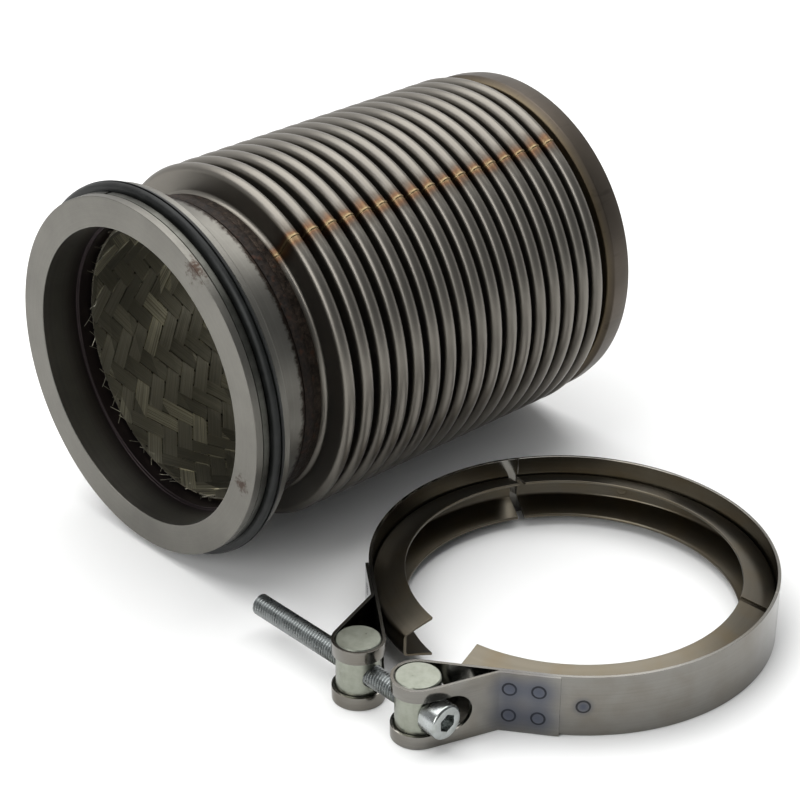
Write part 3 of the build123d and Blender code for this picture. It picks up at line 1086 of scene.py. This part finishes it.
# ---------------------------------------------------------------- flange and its rings
@dataclass
class Flange:
    """The turned V flange with its two seal rings, the front weld and the collar."""

    nose: float = 70.0
    bore: float = 58.25
    bore_depth: float = 16.0
    inner: float = 57.0
    neck: float = 61.0
    neck_end: float = 30.4
    rim: float = 71.5
    rim_front: float = 11.8
    rim_back: float = 14.5
    v_angle: float = 20.0
    split_groove: Point = (3.3, 6.2)
    split_groove_r: float = 66.6
    split_land: float = 69.2
    split_gap: float = 2.0
    split_gap_angle: float = 76.0
    split_play: float = 0.15
    split_depth: float = 0.5
    split_edge: float = 0.18
    seal_front: float = 6.8
    seal_seat: float = 67.9
    seal_r: float = 73.2
    seal_groove: Point = (8.6, 9.4)
    seal_groove_depth: float = 0.8
    seal_edge: float = 0.08
    edge: float = 0.3
    fillet: float = 1.6
    root: float = Bellows.root
    wall: float = Bellows.wall
    collar_r: float = 59.9
    collar_edge: float = 0.35
    collar: Point = (35.4, 39.6)
    bead_r: float = 61.7
    ripple: float = 2.4
    ripple_height: float = 0.7
    ripple_level: float = 0.62
    tube_end: float = Bellows.tube_start

    def body(self) -> Piece:
        """The flange itself: nose, two seats, V rim, neck and bore.

        Returns:
            The finished flange.
        """
        foot = self.rim_back + (self.rim - self.neck) * math.tan(math.radians(self.v_angle))
        front, back = self.split_groove
        corners = [
            (0.0, self.nose), (front, self.nose), (front, self.split_groove_r),
            (back, self.split_groove_r), (back, self.split_land),
            (self.seal_front, self.split_land), (self.seal_front, self.seal_seat),
            (self.rim_front, self.seal_seat), (self.rim_front, self.rim), (self.rim_back, self.rim),
            (foot, self.neck), (self.neck_end, self.neck), (self.neck_end, self.inner),
            (self.bore_depth, self.inner), (self.bore_depth, self.bore),
        ]
        start = (0.0, self.bore)
        pen = Pen("flange_body", Plan.SECTION, start).line(*corners).close(start)
        return pen.soften([(foot, self.neck)], self.fillet).turn(self.edge)

    def split_ring(self) -> Piece:
        """The thin piston ring, turned from one side of its gap round to the other.

        Returns:
            The finished ring.
        """
        front = self.split_groove[0] + self.split_play
        back = self.split_groove[1] - self.split_play
        low = self.split_groove_r + self.split_depth
        top = self.nose - 0.02
        half = math.degrees(self.split_gap / 2 / self.nose)
        pen = Pen("split_ring", Plan.SECTION, (front, low)).line((front, top), (back, top), (back, low))
        pen.close((front, low))
        return pen.turn(self.split_edge, start=self.split_gap_angle - 90 + half, sweep=360 - 2 * half)

    def seal_ring(self) -> Piece:
        """The rounded seal ring with one fine groove round its crown.

        Returns:
            The finished ring.
        """
        half = (self.rim_front - self.seal_front) / 2
        middle = (self.seal_front + half, self.seal_r - half)
        back, front = (math.acos((x - middle[0]) / half) for x in reversed(self.seal_groove))
        floor = self.seal_r - self.seal_groove_depth
        start = (self.rim_front, self.seal_seat)
        pen = Pen("seal_ring", Plan.SECTION, start).line((self.rim_front, middle[1]))
        pen.arc(middle, math.degrees(back), 12)
        pen.line((self.seal_groove[1], floor), (self.seal_groove[0], floor))
        pen.line((self.seal_groove[0], middle[1] + half * math.sin(front)))
        pen.arc(middle, 180 - math.degrees(front), 12)
        return pen.line((self.seal_front, self.seal_seat)).close(start).turn(self.seal_edge)

    def bead(self) -> Piece:
        """The front weld: a crowned ring, roughened into ripples and spatter.

        Returns:
            The finished weld.
        """
        half = (self.collar[0] - self.neck_end) / 2
        sag = self.bead_r - self.neck
        radius = (half ** 2 + sag ** 2) / (2 * sag)
        spread = math.degrees(math.asin(half / radius))
        centre = (self.neck_end + half, self.bead_r - radius)
        start = (self.neck_end - 0.3, self.root)
        pen = Pen("front_weld", Plan.SECTION, start)
        pen.line((self.collar[0] + 0.2, self.root), (self.collar[0], self.neck - 0.5))
        pen.arc(centre, 2 * spread, 12)
        pen.close(start)
        ring = pen.turn(steps=3 * STEPS)
        grain = bpy.data.textures.new("weld_ripple", "CLOUDS")
        grain.noise_scale = self.ripple * MM
        grain.noise_depth = 3
        apply_modifier(ring, "DISPLACE", texture=grain, texture_coords="LOCAL",
                       strength=self.ripple_height * MM, mid_level=self.ripple_level)
        tidy(ring)
        return ring

    def end_collar(self) -> Piece:
        """The thin reinforcing collar in front of the first convolution.

        Returns:
            The finished collar.
        """
        front, back = self.collar
        pen = Pen("end_collar", Plan.SECTION, (front, self.root))
        pen.line((back, self.root), (back, self.collar_r), (front, self.collar_r))
        return pen.close((front, self.root)).turn(self.collar_edge)

    def end_tube(self) -> Piece:
        """The straight end of the bellows, under the weld and the collar.

        Returns:
            The finished tube.
        """
        inner = self.root - self.wall
        pen = Pen("bellows_tube_front", Plan.SECTION, (self.neck_end, inner))
        pen.line((self.tube_end, inner), (self.tube_end, self.root), (self.neck_end, self.root))
        return pen.close((self.neck_end, inner)).turn()

    def build(self) -> None:
        """Build and dress every piece that is fixed to the flange."""
        for made, finish, slot, node in (
            (self.body(), FLANGE_STEEL, "turned_steel", "v_flange"),
            (self.split_ring(), RING_IRON, "piston_ring_iron", "split_seal_ring"),
            (self.seal_ring(), SEAL_BLACK, "black_seal", "rear_seal_ring"),
            (self.bead(), WELD, "weld_metal", "weld_bead_front"),
            (self.end_collar(), SCORCHED, "bellows_stainless", "end_collar_front"),
            (self.end_tube(), BELLOWS, "bellows_stainless", "bellows_end_front"),
        ):
            install(made, finish, node, "flange")
        dress(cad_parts["liner_retaining_ring"], CUFF)


# ---------------------------------------------------------------- braided liner
@dataclass
class Liner:
    """A tube braided from flat ribbons, two over and two under, cut into spans at the bellows' crests."""

    bellows: Bellows
    radius: float = BRAID_R
    strands: int = BRAID_STRANDS
    lead: float = BRAID_LEAD
    ribbon: float = 5.5
    thickness: float = 0.34
    lift: float = 0.27
    start: float = 21.0
    rows: int = 4
    wires: int = 120
    wire_root: float = 3.0
    wire_length: Point = (3.5, 9.5)
    wire_lean: Point = (0.6, 1.6)
    wire_bend: float = 0.35
    wire_rise: Point = (-0.3, 0.6)
    wire_r: Point = (0.09, 0.13)

    def spans(self) -> list[tuple[float, float]]:
        """The stretches of the liner between its front end, each crest and its rear end.

        Returns:
            Where each span begins and ends, in millimetres.
        """
        crests = self.bellows.crests
        _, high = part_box("braided_liner")
        cuts = [self.start, *crests, high.x / MM]
        return list(zip(cuts, cuts[1:]))

    def height(self, x: float, turn: float, hand: Hand, number: int) -> float:
        """How far over (+1) or under (-1) its crossings a strand lies at a place.

        Args:
            x: Place along the axis, in millimetres.
            turn: Place round the axis, in radians.
            hand: The strand's hand.
            number: The strand's number; only odd or even matters.

        Returns:
            The height, from -1 to 1.
        """
        spacing = math.tau / self.strands
        other = (turn + hand.value * x * self.lead / self.radius) / spacing
        phase = other + number - 0.5 if hand is Hand.RIGHT else other + number + 1.5
        return max(-1.0, min(1.0, 1.5 * math.cos(math.pi / 2 * phase)))

    def strand(self, hand: Hand, number: int, begin: float, end: float) -> Piece:
        """One ribbon of a span: a grid laid along its helix, with each point over or under.

        Args:
            hand: Which way it winds.
            number: Which ribbon of its hand.
            begin: Front plane, in millimetres.
            end: Rear plane, in millimetres.

        Returns:
            The ribbon, as a sheet without thickness.
        """
        pitch = math.pi * self.radius / self.strands / self.lead
        along = max(2, round((end - begin) / pitch * 4))
        bpy.ops.object.select_all(action="DESELECT")
        bpy.ops.mesh.primitive_grid_add(x_subdivisions=along, y_subdivisions=self.rows, size=1.0)
        piece = bpy.context.object
        width = self.ribbon / math.cos(math.atan(self.lead)) / self.radius
        first = number * math.tau / self.strands
        for vertex in piece.data.vertices:
            x = begin + (vertex.co.x + 0.5) * (end - begin)
            turn = first + hand.value * x * self.lead / self.radius + vertex.co.y * width
            reach = self.radius - self.lift * self.height(x, turn, hand, number)
            vertex.co = metres(x, reach * math.cos(turn), reach * math.sin(turn))
        dress(piece, BRAID_RIGHT if hand is Hand.RIGHT else BRAID_LEFT)
        return piece

    def span(self, number: int, begin: float, end: float) -> Piece:
        """All the ribbons between two planes, from one even and one odd strand of each hand.

        Args:
            number: Which span, from 0.
            begin: Front plane, in millimetres.
            end: Rear plane, in millimetres.

        Returns:
            The finished span.
        """
        kinds = [self.strand(hand, parity, begin, end) for hand in Hand for parity in (0, 1)]
        piece = joined(f"braid_{number:02d}", kinds)
        edit_all(piece)
        bpy.ops.mesh.normals_make_consistent(inside=False)
        copies = self.strands // 2 - 1
        bpy.ops.mesh.spin(steps=copies, dupli=True, angle=math.tau * copies / (copies + 1),
                          center=(0, 0, 0), axis=(1, 0, 0))
        leave_edit()
        apply_modifier(piece, "SOLIDIFY", thickness=self.thickness * MM, offset=0.0)
        bpy.ops.object.shade_smooth_by_angle(angle=SMOOTH_ANGLE)
        return piece

    def loose_wires(self) -> Piece:
        """Wire ends that stick out of the braid's front edge, each bent a little its own way.

        Returns:
            The wires, as one piece.
        """
        dice = random.Random(7)
        ends = []
        root = self.start + self.wire_root
        for number in range(self.wires):
            turn = math.tau * (number + dice.uniform(-0.5, 0.5)) / self.wires
            lean = dice.choice((-1, 1)) * dice.uniform(*self.wire_lean)
            length = dice.uniform(*self.wire_length)
            pen = Pen("wire", Plan.SECTION, (root, 0.0))
            shift = 0.0
            for part in range(1, 5):
                shift += dice.uniform(-self.wire_bend, self.wire_bend)
                pen.line((root - length * part / 4, shift))
            leave_edit()
            bpy.ops.object.convert(target="CURVE")
            pen.piece.data.bevel_depth = dice.choice(self.wire_r) * MM
            pen.piece.data.bevel_resolution = 1
            pen.piece.data.use_fill_caps = True
            bpy.ops.object.convert(target="MESH")
            wire = bpy.context.object
            swing = Matrix.Rotation(math.atan(lean), 4, "Z") @ Matrix.Translation(metres(-root, 0, 0))
            drop = Matrix.Translation(metres(root, 0, -self.radius - dice.uniform(*self.wire_rise)))
            wire.data.transform(Matrix.Rotation(turn, 4, "X") @ drop @ swing)
            ends.append(wire)
        piece = joined("loose_wires", ends)
        tidy(piece)
        return piece

    def build(self) -> None:
        """Build every span, then add the loose wires, which ride the flange."""
        for number, (begin, end) in enumerate(self.spans()):
            made = self.span(number, begin, end)
            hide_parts("braided_liner")
            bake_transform(made)
        wires = dress(self.loose_wires(), BRAID_RIGHT)
        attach(wires, "flange")
        log.info("built the braided liner in %d spans", len(self.spans()))


# ---------------------------------------------------------------- rear cuff
@dataclass
class Cuff:
    """The socket ring behind the bellows and the weld inside it."""

    outer: float = 69.0
    web: float = 4.0
    bore: float = 63.6
    weld: float = 1.5
    bead_edge: float = 0.15
    edge: float = 0.3
    front_bevel: Point = (2.4, 2.0)
    shoulder: Point = (8.0, 0.2)
    rear_bevel: Point = (1.2, 0.9)
    mouth: float = 1.0
    root: float = Bellows.root
    wall: float = Bellows.wall

    def body(self) -> Piece:
        """The turned ring, with a chamfered front edge and a rounded rear one.

        Returns:
            The finished cuff.
        """
        low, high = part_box("rear_cuff")
        front, back = low.x / MM, high.x / MM
        floor = front + self.web
        start = (front, self.root)
        shoulder, taper = self.shoulder
        rear, drop = self.rear_bevel
        corners = [
            (front, self.outer - self.front_bevel[1]), (front + self.front_bevel[0], self.outer),
            (front + shoulder, self.outer - taper), (back - rear, self.outer - drop),
            (back, self.outer - drop - rear), (back, self.bore + self.mouth),
            (back - self.mouth, self.bore), (floor, self.bore), (floor, self.root + self.weld),
            (floor - self.weld, self.root),
        ]
        return Pen("cuff_body", Plan.SECTION, start).line(*corners).close(start).turn(self.edge)

    def bead(self) -> Piece:
        """The weld between the web and the end of the bellows.

        Returns:
            The finished weld.
        """
        low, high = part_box("weld_bead_rear")
        begin, end = low.x / MM, high.x / MM
        start = (begin, self.root - self.wall)
        pen = Pen("rear_weld", Plan.SECTION, start)
        pen.line((begin, self.root), (end, self.root + end - begin)).close(start)
        return pen.turn(self.bead_edge)

    def build(self) -> None:
        """Build and dress the cuff."""
        for made, finish, slot, node in (
            (self.body(), CUFF, "cuff_steel", "rear_cuff"),
            (self.bead(), WELD, "weld_metal", "weld_bead_rear"),
        ):
            install(made, finish, node, "cuff")


# ---------------------------------------------------------------- clamp
@dataclass
class Clamp:
    """The V-band clamp: one band in three pieces, three retainers, two trunnions and a screw."""

    centre: Point = (88.0, -143.0)
    band_r: float = 74.8
    band_t: float = 1.2
    band_width: float = 24.0
    band_edge: float = 0.22
    flex_angle: float = 118.0
    flex_half: float = 1.5
    retainer_slit: float = 3.0
    retainer_t: float = 1.2
    lip_r: float = 61.5
    base_half: float = 4.2
    lip_half: float = 7.0
    retainer_end: float = 10.5
    trunnion_r: float = 8.0
    trunnion_pitch: float = 93.5
    trunnion_angle: float = 9.2
    clearance: float = 0.3
    join_angle: float = 24.3
    fold_end: float = 40.0
    lap_gap: float = 0.06
    window: float = 14.0
    window_back: float = 12.0
    weld_angles: tuple[float, float] = (27.0, 34.5)
    weld_rise: float = 5.4
    single_angle: float = 46.0

    @property
    def floor(self) -> float:
        """Height of the surface that the clamp lies on."""
        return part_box("clamp_band_middle")[0].z / MM

    @property
    def middle(self) -> float:
        """Height of the clamp's middle plane."""
        return self.floor + self.band_width / 2

    @property
    def sheet(self) -> float:
        """Radius of the middle of the band's sheet."""
        return self.band_r - self.band_t / 2

    def at(self, radius: float, angle: float, side: Side) -> Point:
        """A point of the clamp in plan; angles run from its opening.

        Args:
            radius: The radius, in millimetres.
            angle: The angle, in degrees.
            side: Which arm.

        Returns:
            The point, in millimetres.
        """
        turn = math.radians(angle)
        return (self.centre[0] - radius * math.cos(turn),
                self.centre[1] + side.value * radius * math.sin(turn))

    def leave(self) -> float:
        """The angle where an arm leaves the circle for its straight run."""
        loop = self.trunnion_r + self.clearance + self.band_t / 2
        return self.trunnion_angle + math.degrees(math.acos((self.sheet + loop) / self.trunnion_pitch))

    def outward(self, angle: float, side: Side) -> Vector:
        """The direction out of the clamp's circle at an angle, in plan."""
        point = self.at(1.0, angle, side)
        return Vector((point[0] - self.centre[0], point[1] - self.centre[1]))

    def on_run(self, offset: float, angle: float, side: Side) -> Point:
        """A point on an arm's straight run, a distance outside its sheet's middle."""
        leave = self.leave()
        return self.at((self.sheet + offset) / math.cos(math.radians(leave - angle)), angle, side)

    def arm_wire(self, side: Side) -> Pen:
        """The middle line of an arm: arc, straight run, loop and fold-back.

        Args:
            side: Which arm.

        Returns:
            The pen, with the wire selected at its tip.
        """
        leave = self.leave()
        lap = self.band_t + self.lap_gap
        loop = self.trunnion_r + self.clearance + self.band_t / 2
        trunnion = Vector(self.at(self.trunnion_pitch, self.trunnion_angle, side))
        outward = self.outward(leave, side)
        inner = trunnion - outward * loop
        join = Vector(self.on_run(lap, self.join_angle, side))
        reach = (trunnion - join).length
        along = (trunnion - join).normalized()
        across = (outward - along * outward.dot(along)).normalized()
        spread = math.asin(loop / reach)
        outer = join + (along * math.cos(spread) + across * math.sin(spread)) * reach * math.cos(spread)
        nose = -((inner - trunnion).normalized() + (outer - trunnion).normalized()).normalized()
        half_turn = math.degrees((inner - trunnion).angle_signed(nose))
        start = self.flex_angle + self.flex_half
        pen = Pen(f"band_{side.name.lower()}_side", Plan.PLAN, self.at(self.sheet, start, side), self.floor)
        pen.arc(self.centre, side.value * (start - leave), 84)
        pen.line(tuple(inner))
        pen.arc(tuple(trunnion), -2 * half_turn, 40)
        pen.line(tuple(join), self.at(self.sheet + lap, leave, side))
        pen.arc(self.centre, side.value * (leave - self.fold_end), 4)
        return pen

    def raise_band(self, pen: Pen) -> Piece:
        """Draw a plan wire up to the band's height and give it the strip's thickness.

        Args:
            pen: The pen with the wire.

        Returns:
            The strip.
        """
        bpy.ops.mesh.select_all(action="SELECT")
        bpy.ops.mesh.extrude_region_move(TRANSFORM_OT_translate={"value": metres(0, 0, self.band_width)})
        bpy.ops.mesh.select_all(action="SELECT")
        bpy.ops.mesh.normals_make_consistent(inside=False)
        leave_edit()
        apply_modifier(pen.piece, "SOLIDIFY", thickness=self.band_t * MM, offset=0.0, use_even_offset=True)
        tidy(pen.piece)
        return pen.piece

    def window_cutter(self, side: Side) -> Piece:
        """The shape of the window round a loop's nose: a slot with one round end.

        Args:
            side: Which arm.

        Returns:
            The cutter.
        """
        x, y = self.at(self.trunnion_pitch, self.trunnion_angle, side)
        middle = metres(x + self.window_back - self.window / 2, y, self.middle)
        cutter = cylinder_along_y(64, self.window / 2, 5 * self.trunnion_r, middle)
        bpy.ops.object.mode_set(mode="EDIT")
        mesh = bmesh.from_edit_mesh(cutter.data)
        for vertex in mesh.verts:
            vertex.select = vertex.co.x < middle.x - 1e-6
        mesh.select_flush(True)
        bmesh.update_edit_mesh(cutter.data)
        bpy.ops.transform.translate(value=metres(-30, 0, 0))
        leave_edit()
        return cutter

    def arm(self, side: Side) -> Piece:
        """One arm of the band with its window and broken edges.

        Args:
            side: Which arm.

        Returns:
            The finished arm.
        """
        piece = self.raise_band(self.arm_wire(side))
        cut_away(piece, self.window_cutter(side))
        round_edges(piece, self.band_edge)
        tidy(piece)
        return piece

    def back(self) -> Piece:
        """The back of the band, between its two flex points.

        Returns:
            The finished back.
        """
        start = self.flex_angle + self.flex_half
        pen = Pen("band_back", Plan.PLAN, self.at(self.sheet, start, Side.NUT), self.floor)
        pen.arc(self.centre, -2 * (180 - start), 124)
        piece = self.raise_band(pen)
        round_edges(piece, self.band_edge)
        tidy(piece)
        return piece

    def retainer(self, name: str, begin: float, end: float) -> Piece:
        """A pressed V segment between two angles from the +X side.

        Args:
            name: Its name.
            begin: First angle, in degrees.
            end: Last angle, in degrees.

        Returns:
            The finished segment.
        """
        outer = self.band_r - self.band_t
        base = outer - self.retainer_t
        lean = (self.lip_half - self.base_half) / (base - self.lip_r)
        skin = self.retainer_t * math.hypot(1, lean)
        inner_half = self.base_half - lean * self.retainer_t
        half_section = [(outer, self.base_half), (self.lip_r, self.lip_half + skin),
                        (self.lip_r, self.lip_half), (base, inner_half)]
        section = half_section + [(r, -h) for r, h in reversed(half_section)]
        corners = [(self.centre[0] + r, self.middle + h) for r, h in section]
        pen = Pen(name, Plan.SECTION, corners[0], offset=self.centre[1])
        pen.line(*corners[1:]).close(corners[0])
        pen.soften([corners[0], corners[-1]], 1.3, 5)
        pen.soften([corners[3], corners[4]], 0.7, 4)
        pen.soften([corners[1], corners[2], corners[5], corners[6]], 0.4, 3)
        bpy.ops.mesh.select_all(action="SELECT")
        axis = metres(*self.centre, 0)
        turn_selected(begin, "Z", axis)
        bpy.ops.mesh.spin(steps=max(8, round((end - begin) / 1.5)), angle=-math.radians(end - begin),
                          center=axis, axis=(0, 0, 1))
        return pen.finish(0.25, True)

    def spot(self, place: Vector, normal: Vector, radius: float = 2.3) -> Piece:
        """A resistance weld's mark: a shallow dish in a low round lip.

        Args:
            place: The middle of the mark on the surface, in millimetres.
            normal: The direction out of the surface.
            radius: The mark's radius, in millimetres.

        Returns:
            The mark, sunk into the surface a little.
        """
        start = (-0.15, 0.0)
        pen = Pen("spot", Plan.SECTION, start)
        pen.line((-0.15, radius), (0.03, radius), (0.11, radius * 0.88), (0.1, radius * 0.78),
                 (0.02, radius * 0.66), (0.04, radius * 0.3), (0.05, 0.0)).close(start)
        piece = pen.turn(steps=24)
        turn = Vector((1, 0, 0)).rotation_difference(normal).to_matrix().to_4x4()
        piece.data.transform(Matrix.Translation(place * MM) @ turn)
        return piece

    def band_spots(self, side: Side) -> list[tuple[Vector, Vector]]:
        """Places and normals of the marks on an arm: four on the lap and one behind it.

        Args:
            side: Which arm.

        Returns:
            Each place, in millimetres, with its normal.
        """
        flat = self.outward(self.leave(), side)
        made = []
        for angle in self.weld_angles:
            x, y = self.on_run(self.band_t + self.lap_gap + self.band_t / 2, angle, side)
            for rise in (-self.weld_rise, self.weld_rise):
                made.append((Vector((x, y, self.middle + rise)), Vector((*flat, 0))))
        x, y = self.at(self.band_r, self.single_angle, side)
        made.append((Vector((x, y, self.middle)), Vector((*self.outward(self.single_angle, side), 0))))
        return made

    def channel_spots(self, angles: list[float]) -> list[tuple[Vector, Vector]]:
        """Places and normals of the marks in a retainer's channel, at angles from the +X side.

        Args:
            angles: The angles, in degrees.

        Returns:
            Each place, in millimetres, with its normal.
        """
        base = self.band_r - self.band_t - self.retainer_t
        made = []
        for angle in angles:
            turn = math.radians(angle)
            place = Vector((self.centre[0] + base * math.cos(turn), self.centre[1] + base * math.sin(turn),
                            self.middle))
            made.append((place, Vector((-math.cos(turn), -math.sin(turn), 0))))
        return made

    def build_band(self) -> None:
        """Build the band and the marks on it; the back and the marks ride the clamp's bodies."""
        spots = [place for side in Side for place, _ in self.band_spots(side)]
        heat = tuple((*place, 5.0 if number % 5 == 4 else 10.5) for number, place in enumerate(spots))
        polished = RolledStainless("polished stainless strip", "#7b7974", 0.16, heat=heat)
        back = dress(self.back(), polished)
        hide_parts("clamp_band_middle")
        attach(back, "clamp_middle")
        for side in Side:
            body = f"clamp_{side.name.lower()}_side"
            arm = dress(self.arm(side), polished)
            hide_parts(f"clamp_band_{side.name.lower()}_side")
            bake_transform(arm)
            marks = [self.spot(*spot) for spot in self.band_spots(side)]
            marks = joined(f"band_spots_{side.name.lower()}", marks)
            dress(marks, polished)
            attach(marks, body)
        log.info("built the band")

    def build_retainers(self) -> None:
        """Build the three V segments with the marks in their channels."""
        slit = math.degrees(self.retainer_slit / 2 / self.band_r)
        flex = 180 - self.flex_angle
        mouth = 180 - self.retainer_end
        segments = {
            "middle": (slit - flex, flex - slit, [-28.0, 28.0]),
            "nut_side": (flex + slit, mouth, [flex + 24.0, flex + 74.0]),
            "head_side": (-mouth, -flex - slit, [-flex - 74.0, -flex - 24.0]),
        }
        for name, (begin, end, spots) in segments.items():
            piece = self.retainer(f"channel_{name}", begin, end)
            marks = [self.spot(*spot) for spot in self.channel_spots(spots)]
            piece = dress(joined(piece.name, [piece, *marks]), RETAINER)
            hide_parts(f"retainer_{name}")
            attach(piece, f"clamp_{name}")
        log.info("built the retainers")

    def build_trunnions(self) -> None:
        """Dress the two barrels, which keep their CAD shape."""
        for node in ("barrel_nut", "barrel_pin"):
            dress(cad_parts[node], BARREL)

    def build(self) -> None:
        """Build the whole clamp but its screw."""
        self.build_band()
        self.build_retainers()
        self.build_trunnions()


@dataclass
class Screw:
    """The clamp's socket head cap screw, with its thread rolled nearly up to the head."""

    major: float = 4.0
    pitch: float = 1.25
    head_r: float = 6.5
    head: float = 8.0
    hex_flats: float = 6.0
    hex_depth: float = 4.0
    plain: float = 9.0
    point: float = 1.2
    thread_depth: float = 0.61
    chamfer: float = 0.7
    crown: float = 1.1

    @property
    def root(self) -> float:
        """Radius at the bottom of the thread."""
        return self.major - self.thread_depth * self.pitch

    def thread(self, length: float) -> Piece:
        """The threaded shank along +Y from the origin: one turn of flank, repeated.

        Args:
            length: Its length, in millimetres.

        Returns:
            The finished thread.
        """
        profile = ((self.root, 0.16), (self.major, 0.46), (self.major, 0.6), (self.root, 0.94),
                   (self.root, 1.0))
        pen = Pen("thread", Plan.PLAN, (self.root, 0.0))
        pen.line(*((radius, share * self.pitch) for radius, share in profile))
        leave_edit()
        turns = int((length - self.point) / self.pitch)
        apply_modifier(pen.piece, "SCREW", axis="Y", angle=math.tau, screw_offset=self.pitch * MM,
                       iterations=turns, steps=28, render_steps=28, use_merge_vertices=True,
                       use_normal_calculate=True)
        edit_all(pen.piece)
        bpy.ops.mesh.remove_doubles(threshold=WELD_DOUBLES)
        bpy.ops.mesh.select_all(action="SELECT")
        bpy.ops.mesh.fill_holes(sides=0)
        leave_edit()
        tidy(pen.piece)
        pen.piece.data.transform(Matrix.Translation(metres(0, length - self.point - turns * self.pitch, 0)))
        return pen.piece

    def shank(self, length: float) -> Piece:
        """The core of the screw, thicker where it is plain, with a chamfered point.

        Args:
            length: Its length, in millimetres.

        Returns:
            The finished shank.
        """
        core = self.root + 0.02
        start = (-0.2, 0.0)
        pen = Pen("shank", Plan.SECTION, start)
        pen.line((-0.2, self.major), (self.plain, self.major), (self.plain + 0.8, core),
                 (length - self.chamfer, core), (length, self.root - self.chamfer), (length, 0.0))
        pen.close(start)
        piece = pen.turn(0.1, steps=48)
        piece.data.transform(Matrix.Rotation(math.pi / 2, 4, "Z"))
        return piece

    def cap(self) -> Piece:
        """The head: a cylinder with a rounded rim and a hexagon socket, along -Y from the origin.

        Returns:
            The finished head.
        """
        start = (0.0, 0.0)
        pen = Pen("head", Plan.SECTION, start)
        pen.line((0.0, self.head_r), (-self.head, self.head_r), (-self.head, 0.0)).close(start)
        pen.soften([(-self.head, self.head_r)], self.crown, 5).soften([(0.0, self.head_r)], 0.4, 3)
        piece = pen.turn(steps=72)
        piece.data.transform(Matrix.Rotation(math.pi / 2, 4, "Z"))
        cut_away(piece, cylinder_along_y(6, self.hex_flats / math.sqrt(3), 2 * self.hex_depth,
                                         metres(0, -self.head, 0)))
        round_edges(piece, 0.25)
        tidy(piece)
        return piece

    def build(self) -> None:
        """Build the screw along its own axis, then move it to its place in the clamp."""
        low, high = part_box("clamp_screw")
        seat = low.y / MM + self.head
        length = high.y / MM - seat
        thread = dress(self.thread(length), THREAD)
        thread.name = "screw_thread"
        solid = [dress(part, SCREW) for part in (self.cap(), self.shank(length))]
        body = joined("screw_body", solid)
        middle = (low + high) / 2
        for piece in (thread, body):
            piece.data.transform(Matrix.Translation((middle.x, seat * MM, middle.z)))
            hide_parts("clamp_screw")
            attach(piece, "screw")
            log.info("built %s", piece.name)


# ---------------------------------------------------------------- studio
@dataclass
class Studio:
    """Pale paper, soft boxes and the camera."""

    lens: float = 104.55
    eye: tuple[float, float, float] = (-448.2, -620.4, 406.56)
    azimuth: float = -43.22
    elevation: float = 28.66
    roll: float = 0.43
    paper: float = 6.0
    bright: str = "#ffffff"
    dim: str = "#7c7e80"
    dark_side: tuple[float, float, float] = (-0.53, -0.73, 0.43)
    aim: tuple[float, float, float] = (0.09, -0.05, -0.02)
    flange_aim: tuple[float, float, float] = (0.03, 0.0, 0.0)

    def camera(self) -> None:
        """Set the camera up."""
        lens = bpy.data.cameras.new("camera")
        lens.lens = self.lens
        lens.sensor_width = 36.0
        lens.clip_start = 0.05
        lens.clip_end = 20.0
        camera = bpy.data.objects.new("camera", lens)
        bpy.context.collection.objects.link(camera)
        turn = (Matrix.Rotation(math.radians(self.azimuth), 4, "Z")
                @ Matrix.Rotation(math.radians(90 - self.elevation), 4, "X")
                @ Matrix.Rotation(math.radians(self.roll), 4, "Z"))
        camera.matrix_world = Matrix.Translation(metres(*self.eye)) @ turn
        bpy.context.scene.camera = camera

    def floor(self) -> None:
        """Lay the paper under the flange's seal ring and the clamp."""
        bpy.ops.object.select_all(action="DESELECT")
        bpy.ops.mesh.primitive_plane_add(size=self.paper, location=(0, 0, CAD_BOX[0].z - 0.0002))
        paper = bpy.context.object
        paper.name = "paper"
        bpy.ops.object.transform_apply(location=True, rotation=False, scale=False)
        paper.data.materials.append(PAPER.material())

    def soft_box(self, name: str, place: tuple, aim: tuple, size: tuple, power: float) -> None:
        """One rectangular soft light, aimed at a point, all in metres and watts.

        Args:
            name: Its name.
            place: Where it stands.
            aim: The point that it faces.
            size: Its width and height.
            power: Its power.
        """
        light = bpy.data.lights.new(name, "AREA")
        light.shape = "RECTANGLE"
        light.size, light.size_y = size
        light.energy = power
        lamp = bpy.data.objects.new(name, light)
        bpy.context.collection.objects.link(lamp)
        lamp.location = place
        lamp.rotation_euler = (Vector(aim) - Vector(place)).to_track_quat("-Z", "Y").to_euler()

    def sky(self) -> None:
        """Light the room: bright behind the object and overhead, darker where the camera stands."""
        world = bpy.data.worlds.new("studio")
        world.use_nodes = True
        tree = world.node_tree
        direction = add(tree, "TexCoord", out="Object")
        facing = add(tree, "VectorMath", {"operation": "DOT_PRODUCT"}, {0: direction, 1: self.dark_side},
                     out="Value")
        facing = add(tree, "MapRange", {"interpolation_type": "SMOOTHSTEP"},
                     {"Value": facing, "From Min": -0.7, "From Max": 0.35})
        tone = add(tree, "ValToRGB", inputs={0: facing}, stops=[(0.0, self.bright), (1.0, self.dim)])
        backdrop = tree.nodes["Background"]
        tree.links.new(tone, backdrop.inputs["Color"])
        bpy.context.scene.world = world

    def build(self) -> None:
        """Set up the whole studio."""
        self.camera()
        self.floor()
        self.sky()
        bpy.context.scene.view_settings.view_transform = "Standard"
        self.soft_box("top", (0.15, 0.35, 1.5), self.aim, (2.6, 1.8), 44.0)
        self.soft_box("left", (-1.2, -0.25, 0.55), self.flange_aim, (0.9, 0.9), 10.0)
        log.info("set the studio up")


def main() -> None:
    """Build the joint, the clamp and the studio in order."""
    logging.basicConfig(level=logging.INFO, format="%(message)s")
    Studio().build()
    Flange().build()
    bellows = Bellows()
    bellows.build()
    Liner(bellows).build()
    Cuff().build()
    Clamp().build()
    Screw().build()


if __name__ == "__main__":
    main()
